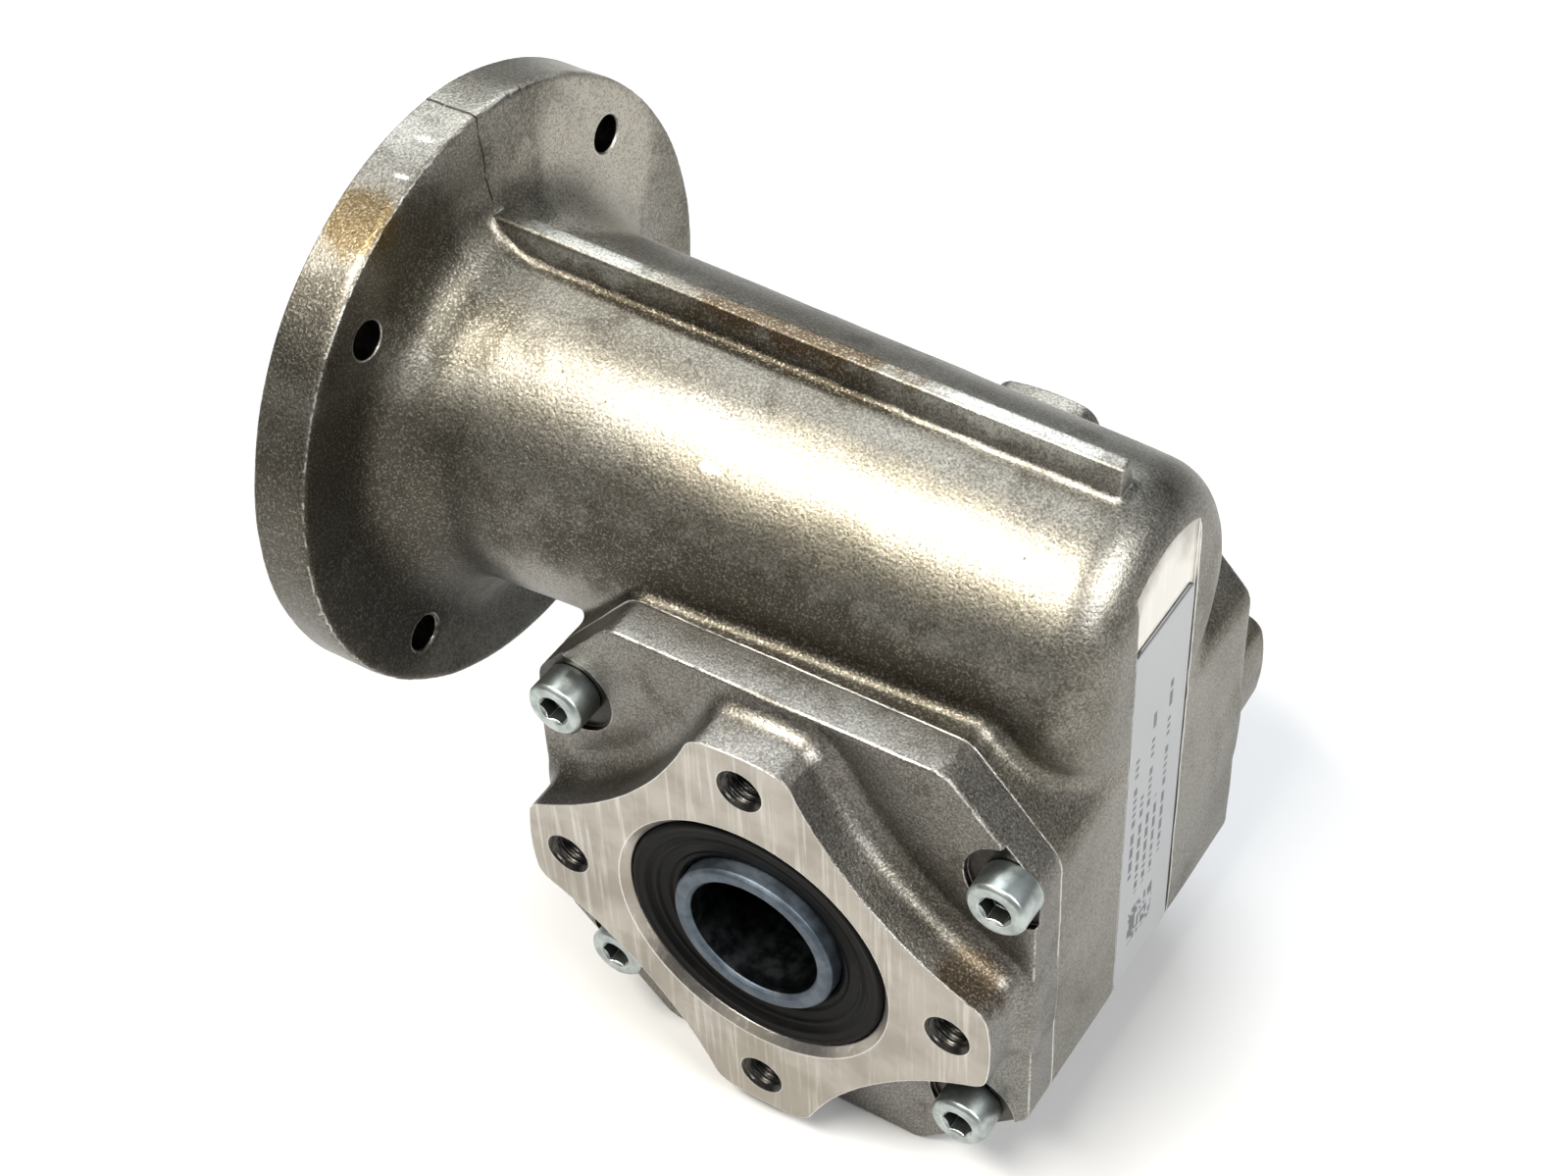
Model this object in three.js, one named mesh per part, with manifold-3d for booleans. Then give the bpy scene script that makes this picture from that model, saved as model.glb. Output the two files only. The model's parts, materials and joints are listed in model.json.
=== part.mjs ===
// Right angle worm gearbox with a round motor flange and a through hollow output shaft.
//
// Units are millimetres and +Z is up. The origin is on the ground plane, under the middle of the
// object's box. The pieces are laid out about the output axis, which runs along Y, and the whole
// group is then lifted and shifted by GROUP_SHIFT. The worm axis runs along X above the output axis.

import * as THREE from 'three';
import { mergeVertices } from 'three/addons/utils/BufferGeometryUtils.js';
import Module from 'manifold-3d';

const wasm = await Module();
wasm.setup();

// ---------------------------------------------------------------- driving dimensions

// Gear pair
const MODULE = 2;
const WORM_STARTS = 2;
const WHEEL_TEETH = 28;
const WORM_PITCH_R = 12.5;
const WHEEL_PITCH_R = MODULE * WHEEL_TEETH / 2;
const CENTRE_DISTANCE = WORM_PITCH_R + WHEEL_PITCH_R;
const PRESSURE_ANGLE = THREE.MathUtils.degToRad(20);
const TOOTH_BACKLASH = 0.5;
const WORM_HALF_LENGTH = 18;
const WHEEL_HALF_WIDTH = 8;

// Motor flange, which takes a face mounted motor with a 60 mm spigot and an 11 mm shaft
const FLANGE_R = 45;
const FLANGE_FACE_X = -72;
const FLANGE_BACK_X = -63.5;
const FLANGE_BOLT_CIRCLE_R = 37.5;
const FLANGE_HOLE_R = 2.75;
const SPIGOT_R = 30;
const SPIGOT_DEPTH = 3.5;
const MOTOR_SHAFT_R = 5.5;
const MOTOR_SHAFT_DEPTH = 25;

// Cast tube round the worm
const TUBE_R_FLANGE = 26;
const TUBE_R_END = 22.3;
const FLANGE_FILLET = 9;
const END_FACE_X = 38.4;
const END_ROUNDING = 8;
const RIB_HEIGHT = 4.4;
const RIB_TOP_WIDTH = 2.5;
const RIB_FOOT_WIDTH = 4;
const RIB_START_X = -62;
const RIB_END_X = 31.5;

// Body and its cover
const BODY_HALF_WIDTH = 38.4;
const BODY_HALF_HEIGHT = 39.6;
const UPPER_CHAMFER = { dx: 13.2, dz: 14.6 };
const LOWER_CHAMFER = { dx: 17, dz: 17 };
const PARTING_Y = -26.4;
const COVER_FACE_Y = -32.8;
const BODY_REAR_Y = 29;
const FACE_Y = 40.5;
const EDGE_DRAFT = 0.1;
const EDGE_ROUNDING = 0.5;

// Output faces: a turned disc with four scooped sides
const STAR_R = 36.4;
const STAR_ARM_HALF_WIDTH = 7.4;
const STAR_SCOOP_R = 53;
const STAR_HOLE_CIRCLE_R = 30;
const STAR_HOLE_R = 2.5;
const STAR_HOLE_DEPTH = 10;
const HOLE_CHAMFER = 0.9;

// Hollow output shaft, its bearings and seals
const OUTPUT_BORE_R = 10;
const OUTPUT_SEAT_R = 12.5;
const OUTPUT_SHOULDER_R = 15;
const OUTPUT_SHOULDER_Y = 18.4;
const OUTPUT_BEARING = { inner: 12.5, outer: 23.5, width: 12 };
const OUTPUT_SEAL = { inner: 12.5, outer: 20, width: 7 };
const SEAL_RECESS = 0.8;

// Worm bearings and seal
const MOTOR_BEARING = { inner: 10, outer: 21, width: 12 };
const MOTOR_BEARING_X = -44;
const END_BEARING = { inner: 7.5, outer: 17.5, width: 11 };
const END_BEARING_X = 21.5;
const INPUT_SEAL = { inner: 10, outer: 21, width: 7 };
const CIRCLIP_WIDTH = 1.75;

// Cap screws that hold the cover: places in the X-Z plane about the output axis
const SCREW_PLACES = [[-32.2, 24], [34.5, 24], [-27.2, -24.6], [29.5, -24.6]];
const SCREW_HEAD_R = 4.25;
const SCREW_HEAD_HEIGHT = 5;
const SCREW_HEX_ACROSS_FLATS = 4;
const SCREW_HEX_DEPTH = 2.6;
const SCREW_SHANK_R = 2.5;
const SCREW_LENGTH = 16;
const SPOT_FACE_R = 6.6;
const SPOT_FACE_Y = -31.8;

// Label band on the closed end
const BAND_HALF_WIDTH = 8.5;
const BAND_DEPTH = 0.6;
const LABEL_THICKNESS = 0.25;
const LABEL_TOP_Z = 44.8;
const LABEL_BOTTOM_Z = -22;

// Clearance left between pieces that touch on the real object
const FIT_GAP = 0.12;
const RUNNING_GAP = 0.3;

// The whole group is moved so that the middle of its underside is at the origin
const GROUP_SHIFT = [-(FLANGE_FACE_X + END_FACE_X) / 2, 0, BODY_HALF_HEIGHT];

// ---------------------------------------------------------------- solids

const TAU = Math.PI * 2;

// A manifold solid from a closed three.js geometry, with its faces turned outwards.
function solidFrom(geometry) {
  const bare = geometry.clone();
  for (const name of Object.keys(bare.attributes)) {
    if (name !== 'position') bare.deleteAttribute(name);
  }
  const merged = mergeVertices(bare, 1e-4);
  const index = Array.from(merged.index.array);
  const faces = [];
  for (let i = 0; i < index.length; i += 3) {
    const [a, b, c] = index.slice(i, i + 3);
    if (a !== b && b !== c && c !== a) faces.push([a, b, c]);
  }
  const position = merged.attributes.position;
  const corner = (i) => new THREE.Vector3().fromBufferAttribute(position, i);
  const volume = faces.reduce((sum, [a, b, c]) => sum + corner(a).dot(corner(b).cross(corner(c))), 0);
  const turned = volume < 0 ? faces.map(([a, b, c]) => [a, c, b]) : faces;
  return new wasm.Manifold(new wasm.Mesh({
    numProp: 3,
    vertProperties: new Float32Array(position.array),
    triVerts: new Uint32Array(turned.flat()),
  }));
}

function join(...solids) {
  return solids.reduce((whole, solid) => whole.add(solid));
}

function cut(solid, ...tools) {
  return tools.reduce((rest, tool) => rest.subtract(tool), solid);
}

// A solid of revolution about Y from [radius, y] points, which close on themselves.
function lathe(points, segments) {
  const profile = [...points, points[0]].map(([r, y]) => new THREE.Vector2(r, y));
  return solidFrom(new THREE.LatheGeometry(profile, segments));
}

// The same about X: the points are [radius, x].
function latheX(points, segments) {
  const profile = [...points, points[0]].map(([r, x]) => new THREE.Vector2(r, x));
  return solidFrom(new THREE.LatheGeometry(profile, segments).rotateZ(-Math.PI / 2));
}

function discY(radius, y0, y1, segments) {
  return lathe([[0, y0], [radius, y0], [radius, y1], [0, y1]], segments);
}

function discX(radius, x0, x1, segments) {
  return latheX([[0, x0], [radius, x0], [radius, x1], [0, x1]], segments);
}

function box(x0, x1, y0, y1, z0, z1) {
  const geometry = new THREE.BoxGeometry(x1 - x0, y1 - y0, z1 - z0);
  return solidFrom(geometry.translate((x0 + x1) / 2, (y0 + y1) / 2, (z0 + z1) / 2));
}

// A loft through outlines of equal length: each layer is a list of [x, y, z] points.
function loft(layers) {
  const count = layers[0].length;
  const centres = [layers[0], layers.at(-1)].map((layer) => layer
    .reduce((sum, p) => sum.map((v, i) => v + p[i] / count), [0, 0, 0]));
  const position = new Float32Array([...layers.flat(), ...centres].flat());
  const bottomCentre = layers.length * count;
  const topCentre = bottomCentre + 1;
  const index = [];
  for (let i = 0; i < count; i += 1) {
    const j = (i + 1) % count;
    for (let k = 0; k + 1 < layers.length; k += 1) {
      const low = k * count;
      const high = low + count;
      index.push(low + i, low + j, high + j, low + i, high + j, high + i);
    }
    const last = (layers.length - 1) * count;
    index.push(bottomCentre, j, i, topCentre, last + i, last + j);
  }
  const geometry = new THREE.BufferGeometry();
  geometry.setAttribute('position', new THREE.BufferAttribute(position, 3));
  geometry.setIndex(index);
  return solidFrom(geometry);
}

// A bore is drawn as a polygon round its circle, so a shaft of the same radius stays clear of it.
function boreRadius(radius, segments, gap = FIT_GAP) {
  return (radius + gap) / Math.cos(Math.PI / segments);
}

// ---------------------------------------------------------------- scene graph

const gearbox = new THREE.Group();
gearbox.position.set(...GROUP_SHIFT);

const materials = {
  castAluminium: new THREE.MeshStandardMaterial({ color: 0xa8a49b, roughness: 0.5, metalness: 0.9 }),
  coverAluminium: new THREE.MeshStandardMaterial({ color: 0xb3b0a9, roughness: 0.45, metalness: 0.9 }),
  zincSteel: new THREE.MeshStandardMaterial({ color: 0xc3c9cc, roughness: 0.3, metalness: 1 }),
  shaftSteel: new THREE.MeshStandardMaterial({ color: 0x6f7d8a, roughness: 0.4, metalness: 0.9 }),
  bearingSteel: new THREE.MeshStandardMaterial({ color: 0xc8c8c8, roughness: 0.2, metalness: 1 }),
  castIron: new THREE.MeshStandardMaterial({ color: 0x55565a, roughness: 0.6, metalness: 0.8 }),
  bronze: new THREE.MeshStandardMaterial({ color: 0xb9863f, roughness: 0.35, metalness: 1 }),
  rubber: new THREE.MeshStandardMaterial({ color: 0x17181b, roughness: 0.55, metalness: 0 }),
  springSteel: new THREE.MeshStandardMaterial({ color: 0x3a3c40, roughness: 0.4, metalness: 0.9 }),
  labelFilm: new THREE.MeshStandardMaterial({ color: 0xc6cace, roughness: 0.35, metalness: 0.1 }),
};

function addPiece(name, solid, material) {
  const { vertProperties, triVerts } = solid.getMesh();
  const geometry = new THREE.BufferGeometry();
  geometry.setAttribute('position', new THREE.BufferAttribute(new Float32Array(vertProperties), 3));
  geometry.setIndex(new THREE.BufferAttribute(new Uint32Array(triVerts), 1));
  geometry.computeVertexNormals();
  const mesh = new THREE.Mesh(geometry, material);
  mesh.name = name;
  gearbox.add(mesh);
}

// ---------------------------------------------------------------- outlines in the X-Z plane

// The body's eight sided outline, drawn in by `inset` for the drafted edges.
function bodyOutline(inset) {
  const w = BODY_HALF_WIDTH - inset;
  const h = BODY_HALF_HEIGHT - inset;
  const corner = inset * 0.4;
  const upper = { dx: UPPER_CHAMFER.dx - corner, dz: UPPER_CHAMFER.dz - corner };
  const lower = { dx: LOWER_CHAMFER.dx - corner, dz: LOWER_CHAMFER.dz - corner };
  return [
    [-w, -h + lower.dz], [-w + lower.dx, -h], [w - lower.dx, -h], [w, -h + lower.dz],
    [w, h - upper.dz], [w - upper.dx, h], [-w + upper.dx, h], [-w, h - upper.dz],
  ];
}

function atY(outline, y) {
  return outline.map(([x, z]) => [x, y, z]);
}

// The four armed face: arm tips lie on the turned rim, and each side between them is scooped.
function starOutline(growth) {
  const tipR = STAR_R + growth;
  const armHalf = STAR_ARM_HALF_WIDTH + growth;
  const armAngle = Math.asin(armHalf / tipR);
  const cornerReach = tipR * Math.cos(armAngle);
  const chordMiddle = (cornerReach + armHalf) / Math.SQRT2;
  const halfChord = (cornerReach - armHalf) / Math.SQRT2;
  const scoopCentre = chordMiddle + Math.sqrt(STAR_SCOOP_R ** 2 - halfChord ** 2);
  const scoopAngle = Math.asin(halfChord / STAR_SCOOP_R);
  const tipSteps = 2;
  const scoopSteps = 6;
  const points = [];
  for (let quarter = 0; quarter < 4; quarter += 1) {
    const armDirection = quarter * Math.PI / 2;
    for (let i = 0; i <= tipSteps; i += 1) {
      const angle = armDirection - armAngle + (2 * armAngle * i) / tipSteps;
      points.push([tipR * Math.cos(angle), tipR * Math.sin(angle)]);
    }
    const diagonal = armDirection + Math.PI / 4;
    for (let i = 1; i < scoopSteps; i += 1) {
      const angle = diagonal + Math.PI + scoopAngle - (2 * scoopAngle * i) / scoopSteps;
      points.push([
        scoopCentre * Math.cos(diagonal) + STAR_SCOOP_R * Math.cos(angle),
        scoopCentre * Math.sin(diagonal) + STAR_SCOOP_R * Math.sin(angle),
      ]);
    }
  }
  return points;
}

// A boss from a base plane to an output face, with a slight draft.
function starBoss(baseY, faceY) {
  return loft([atY(starOutline(0.2), baseY), atY(starOutline(0), faceY)]);
}

// Four tapped holes in an output face on side -1 or +1.
function starHoles(side) {
  const segments = 12;
  const mouth = side * (FACE_Y + 1);
  const rim = side * FACE_Y;
  return [0, 1, 2, 3].map((quarter) => {
    const angle = quarter * Math.PI / 2;
    const hole = lathe([
      [0, mouth],
      [STAR_HOLE_R + HOLE_CHAMFER + 1, mouth],
      [STAR_HOLE_R, rim - side * HOLE_CHAMFER],
      [STAR_HOLE_R, rim - side * STAR_HOLE_DEPTH],
      [0, rim - side * (STAR_HOLE_DEPTH + 1.5)],
    ], segments);
    return hole.translate([
      STAR_HOLE_CIRCLE_R * Math.cos(angle), 0, STAR_HOLE_CIRCLE_R * Math.sin(angle),
    ]);
  });
}

// The stepped bore behind an output face: seal seat, shoulder and bearing seat.
function outputBore(side, innerY) {
  const segments = 36;
  const sealR = boreRadius(OUTPUT_SEAL.outer, segments);
  const bearingR = boreRadius(OUTPUT_BEARING.outer, segments);
  const shoulderR = 18.5;
  const sealFloor = FACE_Y - SEAL_RECESS - OUTPUT_SEAL.width - RUNNING_GAP;
  const bearingFloor = OUTPUT_SHOULDER_Y + OUTPUT_BEARING.width + RUNNING_GAP;
  return lathe([
    [0, side * (FACE_Y + 1)],
    [sealR + 1.5, side * (FACE_Y + 1)],
    [sealR, side * (FACE_Y - 0.5)],
    [sealR, side * sealFloor],
    [shoulderR, side * sealFloor],
    [shoulderR, side * bearingFloor],
    [bearingR, side * bearingFloor],
    [bearingR, side * innerY],
    [0, side * innerY],
  ], segments);
}

// ---------------------------------------------------------------- housing

const CHAMBER_R = 32.6;
const CHAMBER_REAR_Y = 16;
const WORM_TUNNEL_R = 16.5;

// Outside of the cast tube: flange, sweeping fillet, slow taper and rounded closed end.
function tubeOuter() {
  const points = [[0, FLANGE_FACE_X], [FLANGE_R, FLANGE_FACE_X], [FLANGE_R, FLANGE_BACK_X + 0.8]];
  points.push([FLANGE_R - 0.8, FLANGE_BACK_X]);
  const filletSteps = 4;
  for (let i = 0; i <= filletSteps; i += 1) {
    const angle = (i / filletSteps) * Math.PI / 2;
    points.push([
      TUBE_R_FLANGE + FLANGE_FILLET * (1 - Math.sin(angle)),
      FLANGE_BACK_X + FLANGE_FILLET * (1 - Math.cos(angle)),
    ]);
  }
  const endSteps = 4;
  for (let i = 0; i <= endSteps; i += 1) {
    const angle = (i / endSteps) * Math.PI / 2;
    points.push([
      TUBE_R_END - END_ROUNDING * (1 - Math.cos(angle)),
      END_FACE_X - END_ROUNDING * (1 - Math.sin(angle)),
    ]);
  }
  points.push([0, END_FACE_X]);
  return latheX(points, 44);
}

function tubeRadiusAt(x) {
  const start = FLANGE_BACK_X + FLANGE_FILLET;
  const end = END_FACE_X - END_ROUNDING;
  const t = (x - start) / (end - start);
  return TUBE_R_FLANGE + (TUBE_R_END - TUBE_R_FLANGE) * t;
}

// The rib along the top of the tube follows the tube's taper and has drafted sides.
function tubeRib() {
  const section = (x) => {
    const foot = tubeRadiusAt(x) - 1.5;
    const top = tubeRadiusAt(x) + RIB_HEIGHT;
    return [
      [x, -RIB_FOOT_WIDTH / 2, foot], [x, RIB_FOOT_WIDTH / 2, foot],
      [x, RIB_TOP_WIDTH / 2, top], [x, -RIB_TOP_WIDTH / 2, top],
    ];
  };
  return loft([section(RIB_START_X), section(RIB_END_X)]);
}

// The stepped bore for the worm: spigot recess, seal and bearing seats, tunnel and end seat.
function wormBore() {
  const segments = 32;
  const seatR = boreRadius(MOTOR_BEARING.outer, segments);
  const endSeatR = boreRadius(END_BEARING.outer, segments);
  const circlipX = MOTOR_BEARING_X - MOTOR_BEARING.width - RUNNING_GAP;
  const grooveR = MOTOR_BEARING.outer + 1.3;
  const endFloor = END_BEARING_X + END_BEARING.width + 1.4;
  return latheX([
    [0, FLANGE_FACE_X - 1],
    [SPIGOT_R, FLANGE_FACE_X - 1],
    [SPIGOT_R, FLANGE_FACE_X + SPIGOT_DEPTH],
    [seatR, FLANGE_FACE_X + SPIGOT_DEPTH],
    [seatR, circlipX - CIRCLIP_WIDTH - 0.2],
    [grooveR, circlipX - CIRCLIP_WIDTH - 0.2],
    [grooveR, circlipX],
    [seatR, circlipX],
    [seatR, MOTOR_BEARING_X + RUNNING_GAP],
    [WORM_TUNNEL_R, MOTOR_BEARING_X + RUNNING_GAP],
    [WORM_TUNNEL_R, END_BEARING_X - 0.5],
    [endSeatR, END_BEARING_X - 0.5],
    [endSeatR, endFloor],
    [0, endFloor],
  ], segments);
}

function flangeHoles() {
  return [0, 1, 2, 3].map((quarter) => {
    const angle = Math.PI / 4 + quarter * Math.PI / 2;
    const hole = discX(FLANGE_HOLE_R, FLANGE_FACE_X - 1, FLANGE_BACK_X + 1, 14);
    return hole.translate([
      0, FLANGE_BOLT_CIRCLE_R * Math.cos(angle), FLANGE_BOLT_CIRCLE_R * Math.sin(angle),
    ]);
  });
}

function screwHolesInHousing() {
  const depth = SCREW_LENGTH + 2 - (PARTING_Y - SPOT_FACE_Y);
  const segments = 10;
  const radius = boreRadius(SCREW_SHANK_R, segments);
  return SCREW_PLACES.map(([x, z]) => discY(radius, PARTING_Y - 1, PARTING_Y + depth, segments)
    .translate([x, 0, z]));
}

function makeHousing() {
  const bodyLayers = [
    atY(bodyOutline(0), PARTING_Y + FIT_GAP / 2),
    atY(bodyOutline(0), BODY_REAR_Y - 1.5),
    atY(bodyOutline(1.2), BODY_REAR_Y),
  ];
  const onWormAxis = (solid) => solid.translate([0, 0, CENTRE_DISTANCE]);
  const casting = join(
    onWormAxis(join(tubeOuter(), tubeRib())),
    loft(bodyLayers),
    starBoss(BODY_REAR_Y - 0.5, FACE_Y),
  );
  const chamber = discY(CHAMBER_R, PARTING_Y - 1, CHAMBER_REAR_Y, SPIGOT_SEGMENTS);
  const band = box(
    END_FACE_X - BAND_DEPTH, END_FACE_X + 1, -BAND_HALF_WIDTH, BAND_HALF_WIDTH,
    -BODY_HALF_HEIGHT - 1, CENTRE_DISTANCE + TUBE_R_END,
  );
  return cut(
    casting,
    onWormAxis(wormBore()),
    chamber,
    outputBore(1, CHAMBER_REAR_Y - 1),
    band,
    ...flangeHoles().map(onWormAxis),
    ...starHoles(1),
    ...screwHolesInHousing(),
  );
}

// ---------------------------------------------------------------- cover

const COVER_SPIGOT_END_Y = OUTPUT_SHOULDER_Y - 0.4;
const O_RING_R = 0.85;
const SPIGOT_SEGMENTS = 36;
const O_RING_Y = -23.6;

function makeCover() {
  const plate = loft([
    atY(bodyOutline(0), PARTING_Y - FIT_GAP / 2),
    atY(bodyOutline(EDGE_DRAFT), COVER_FACE_Y + EDGE_ROUNDING),
    atY(bodyOutline(EDGE_DRAFT + EDGE_ROUNDING), COVER_FACE_Y),
  ]);
  const spigotR = CHAMBER_R - 0.3;
  const grooveR = spigotR - 1.9;
  const spigot = lathe([
    [0, PARTING_Y - 1],
    [spigotR, PARTING_Y - 1],
    [spigotR, O_RING_Y - 1.3],
    [grooveR, O_RING_Y - 1.3],
    [grooveR, O_RING_Y + 1.3],
    [spigotR, O_RING_Y + 1.3],
    [spigotR, -COVER_SPIGOT_END_Y],
    [0, -COVER_SPIGOT_END_Y],
  ], SPIGOT_SEGMENTS);
  const screwHoles = SCREW_PLACES.flatMap(([x, z]) => [
    discY(SCREW_SHANK_R + 0.3, COVER_FACE_Y - 1, PARTING_Y + 1, 10).translate([x, 0, z]),
    discY(SPOT_FACE_R, COVER_FACE_Y - 1, SPOT_FACE_Y, 20).translate([x, 0, z]),
  ]);
  return cut(
    join(plate, spigot, starBoss(COVER_FACE_Y + 0.5, -FACE_Y)),
    outputBore(-1, COVER_SPIGOT_END_Y - 1),
    ...starHoles(-1),
    ...screwHoles,
  );
}

function makeORing() {
  const ringR = CHAMBER_R - 0.25 - O_RING_R;
  const sides = 6;
  const section = Array.from({ length: sides }, (_, i) => {
    const angle = (i / sides) * TAU;
    return [ringR + O_RING_R * Math.cos(angle), O_RING_Y + O_RING_R * Math.sin(angle)];
  });
  return lathe(section, SPIGOT_SEGMENTS);
}

// Socket head cap screw with its head towards -Y.
function makeCapScrew([x, z]) {
  const headBase = SPOT_FACE_Y - 0.05;
  const headTop = headBase - SCREW_HEAD_HEIGHT;
  const body = lathe([
    [0, headTop],
    [SCREW_HEAD_R - 0.4, headTop],
    [SCREW_HEAD_R, headTop + 0.4],
    [SCREW_HEAD_R, headBase],
    [SCREW_SHANK_R, headBase],
    [SCREW_SHANK_R, headBase + SCREW_LENGTH - 0.6],
    [SCREW_SHANK_R - 0.6, headBase + SCREW_LENGTH],
    [0, headBase + SCREW_LENGTH],
  ], 16);
  const hexR = SCREW_HEX_ACROSS_FLATS / 2 / Math.cos(Math.PI / 6);
  const socket = lathe([
    [0, headTop - 1], [hexR, headTop - 1], [hexR, headTop + SCREW_HEX_DEPTH],
    [0, headTop + SCREW_HEX_DEPTH + 0.8],
  ], 6);
  return cut(body, socket).translate([x, 0, z]);
}

// ---------------------------------------------------------------- bearings and seals

// A deep groove ball bearing about Y, from y = 0 to its width: outer ring, inner ring, and the
// cage with its balls as one piece.
function makeBearing({ inner, outer, width }) {
  const segments = 18;
  const middleR = (inner + outer) / 2;
  const ballR = (outer - inner) * 0.29;
  const clear = 0.25;
  const grooveHalf = ballR;
  const floorHalf = 1.2;
  const outerShoulder = middleR + ballR * 0.55;
  const innerShoulder = middleR - ballR * 0.55;
  const raceway = ballR + clear;
  const racewayR = (middleR + raceway) / Math.cos(Math.PI / segments);
  const mid = width / 2;
  const boreR = boreRadius(inner, segments, 0.1);
  const outerRing = lathe([
    [outer, 0], [outer, width], [outerShoulder, width], [outerShoulder, mid + grooveHalf],
    [racewayR, mid + floorHalf], [racewayR, mid - floorHalf],
    [outerShoulder, mid - grooveHalf], [outerShoulder, 0],
  ], segments);
  const innerRing = lathe([
    [boreR, 0], [boreR, width], [innerShoulder, width], [innerShoulder, mid + grooveHalf],
    [middleR - raceway, mid + floorHalf], [middleR - raceway, mid - floorHalf],
    [innerShoulder, mid - grooveHalf], [innerShoulder, 0],
  ], segments);
  const cageHalf = ballR * 0.3;
  const cageRing = lathe([
    [middleR - cageHalf, mid - ballR - 0.3], [middleR + cageHalf, mid - ballR - 0.3],
    [middleR + cageHalf, mid + ballR + 0.3], [middleR - cageHalf, mid + ballR + 0.3],
  ], segments);
  const ballCount = Math.floor((TAU * middleR) / (ballR * 4.4));
  const balls = Array.from({ length: ballCount }, (_, i) => {
    const angle = (i / ballCount) * TAU;
    const ball = new THREE.SphereGeometry(ballR, 6, 4);
    return solidFrom(ball.translate(middleR * Math.cos(angle), mid, middleR * Math.sin(angle)));
  });
  return { outerRing, innerRing, cage: join(cageRing, ...balls) };
}

// A radial shaft seal about Y, from its outside face at y = 0 inwards: flat face with two
// concentric steps, a lip that runs close to the shaft, and an open back.
function makeSeal({ inner, outer, width }) {
  const lipR = inner + 0.25;
  return lathe([
    [outer - 0.1, 0.3],
    [outer - 0.4, 0],
    [outer - 2.4, 0],
    [outer - 2.8, 0.5],
    [lipR + 2.2, 0.5],
    [lipR + 1.4, 1.2],
    [lipR + 0.2, 1.2],
    [lipR, 2],
    [lipR + 0.4, width * 0.75],
    [lipR + 1.6, width * 0.8],
    [lipR + 1.6, 2.4],
    [outer - 1.6, 2.4],
    [outer - 1.6, width],
    [outer - 0.1, width],
  ], 28);
}

// ---------------------------------------------------------------- gears

// Half the angle that a tooth space takes at radius r of an involute wheel.
function spaceHalfAngle(r) {
  const involute = (angle) => Math.tan(angle) - angle;
  const baseR = WHEEL_PITCH_R * Math.cos(PRESSURE_ANGLE);
  const angleAtR = Math.acos(Math.min(1, baseR / r));
  const spaceAtPitch = (Math.PI * MODULE / 2 + TOOTH_BACKLASH) / 2 / WHEEL_PITCH_R;
  return spaceAtPitch - involute(PRESSURE_ANGLE) + involute(angleAtR);
}

// One tooth space, twisted along Y to follow the worm's thread.
function toothSpace(centreAngle) {
  const rootR = WHEEL_PITCH_R - 1.3 * MODULE;
  const topR = WHEEL_PITCH_R + 2.4 * MODULE;
  const radii = [rootR, WHEEL_PITCH_R, topR];
  const halfAngles = radii.map(spaceHalfAngle);
  const twist = (WORM_STARTS * MODULE / 2 / WORM_PITCH_R) / WHEEL_PITCH_R;
  const outline = [
    ...radii.map((r, i) => [r, halfAngles[i]]),
    ...radii.map((r, i) => [r, -halfAngles[i]]).reverse(),
  ];
  const reach = WHEEL_HALF_WIDTH + 0.5;
  const layers = [-reach, reach].map((y) => outline.map(([r, a]) => {
    const angle = centreAngle + a - twist * y;
    return [r * Math.cos(angle), y, r * Math.sin(angle)];
  }));
  return loft(layers);
}

const RIM_INNER_R = 21;
const HUB_HALF_WIDTH = 13;
const WHEEL_OUTER_R = WHEEL_PITCH_R + 1.6 * MODULE;

// Bronze worm wheel rim, with a throat that wraps round the worm.
function makeWheelRim() {
  const throatR = WORM_PITCH_R - MODULE;
  const throatHalf = Math.sqrt(throatR ** 2 - (CENTRE_DISTANCE - WHEEL_OUTER_R) ** 2);
  const throatSteps = 4;
  const throat = Array.from({ length: throatSteps + 1 }, (_, i) => {
    const y = -throatHalf + (2 * throatHalf * i) / throatSteps;
    return [CENTRE_DISTANCE - Math.sqrt(throatR ** 2 - y ** 2), y];
  });
  const bore = boreRadius(RIM_INNER_R, 28);
  const blank = lathe([
    [bore, -WHEEL_HALF_WIDTH],
    [WHEEL_OUTER_R, -WHEEL_HALF_WIDTH],
    ...throat,
    [WHEEL_OUTER_R, WHEEL_HALF_WIDTH],
    [bore, WHEEL_HALF_WIDTH],
  ], 28);
  const spaces = Array.from({ length: WHEEL_TEETH }, (_, i) => (
    toothSpace(Math.PI / 2 + (i / WHEEL_TEETH) * TAU)));
  return cut(blank, ...spaces);
}

const KEY_WIDTH = 8;
const KEY_HEIGHT = 5;
const KEY_HALF_LENGTH = 10;

// The key lies in a slot on top of the output shaft and drives the wheel hub.
function keySpace(grow) {
  const half = KEY_WIDTH / 2 + grow;
  const length = KEY_HALF_LENGTH + grow;
  const low = OUTPUT_SHOULDER_R - 2.5 - grow;
  return box(-half, half, -length, length, low, low + KEY_HEIGHT + 2 * grow);
}

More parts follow.
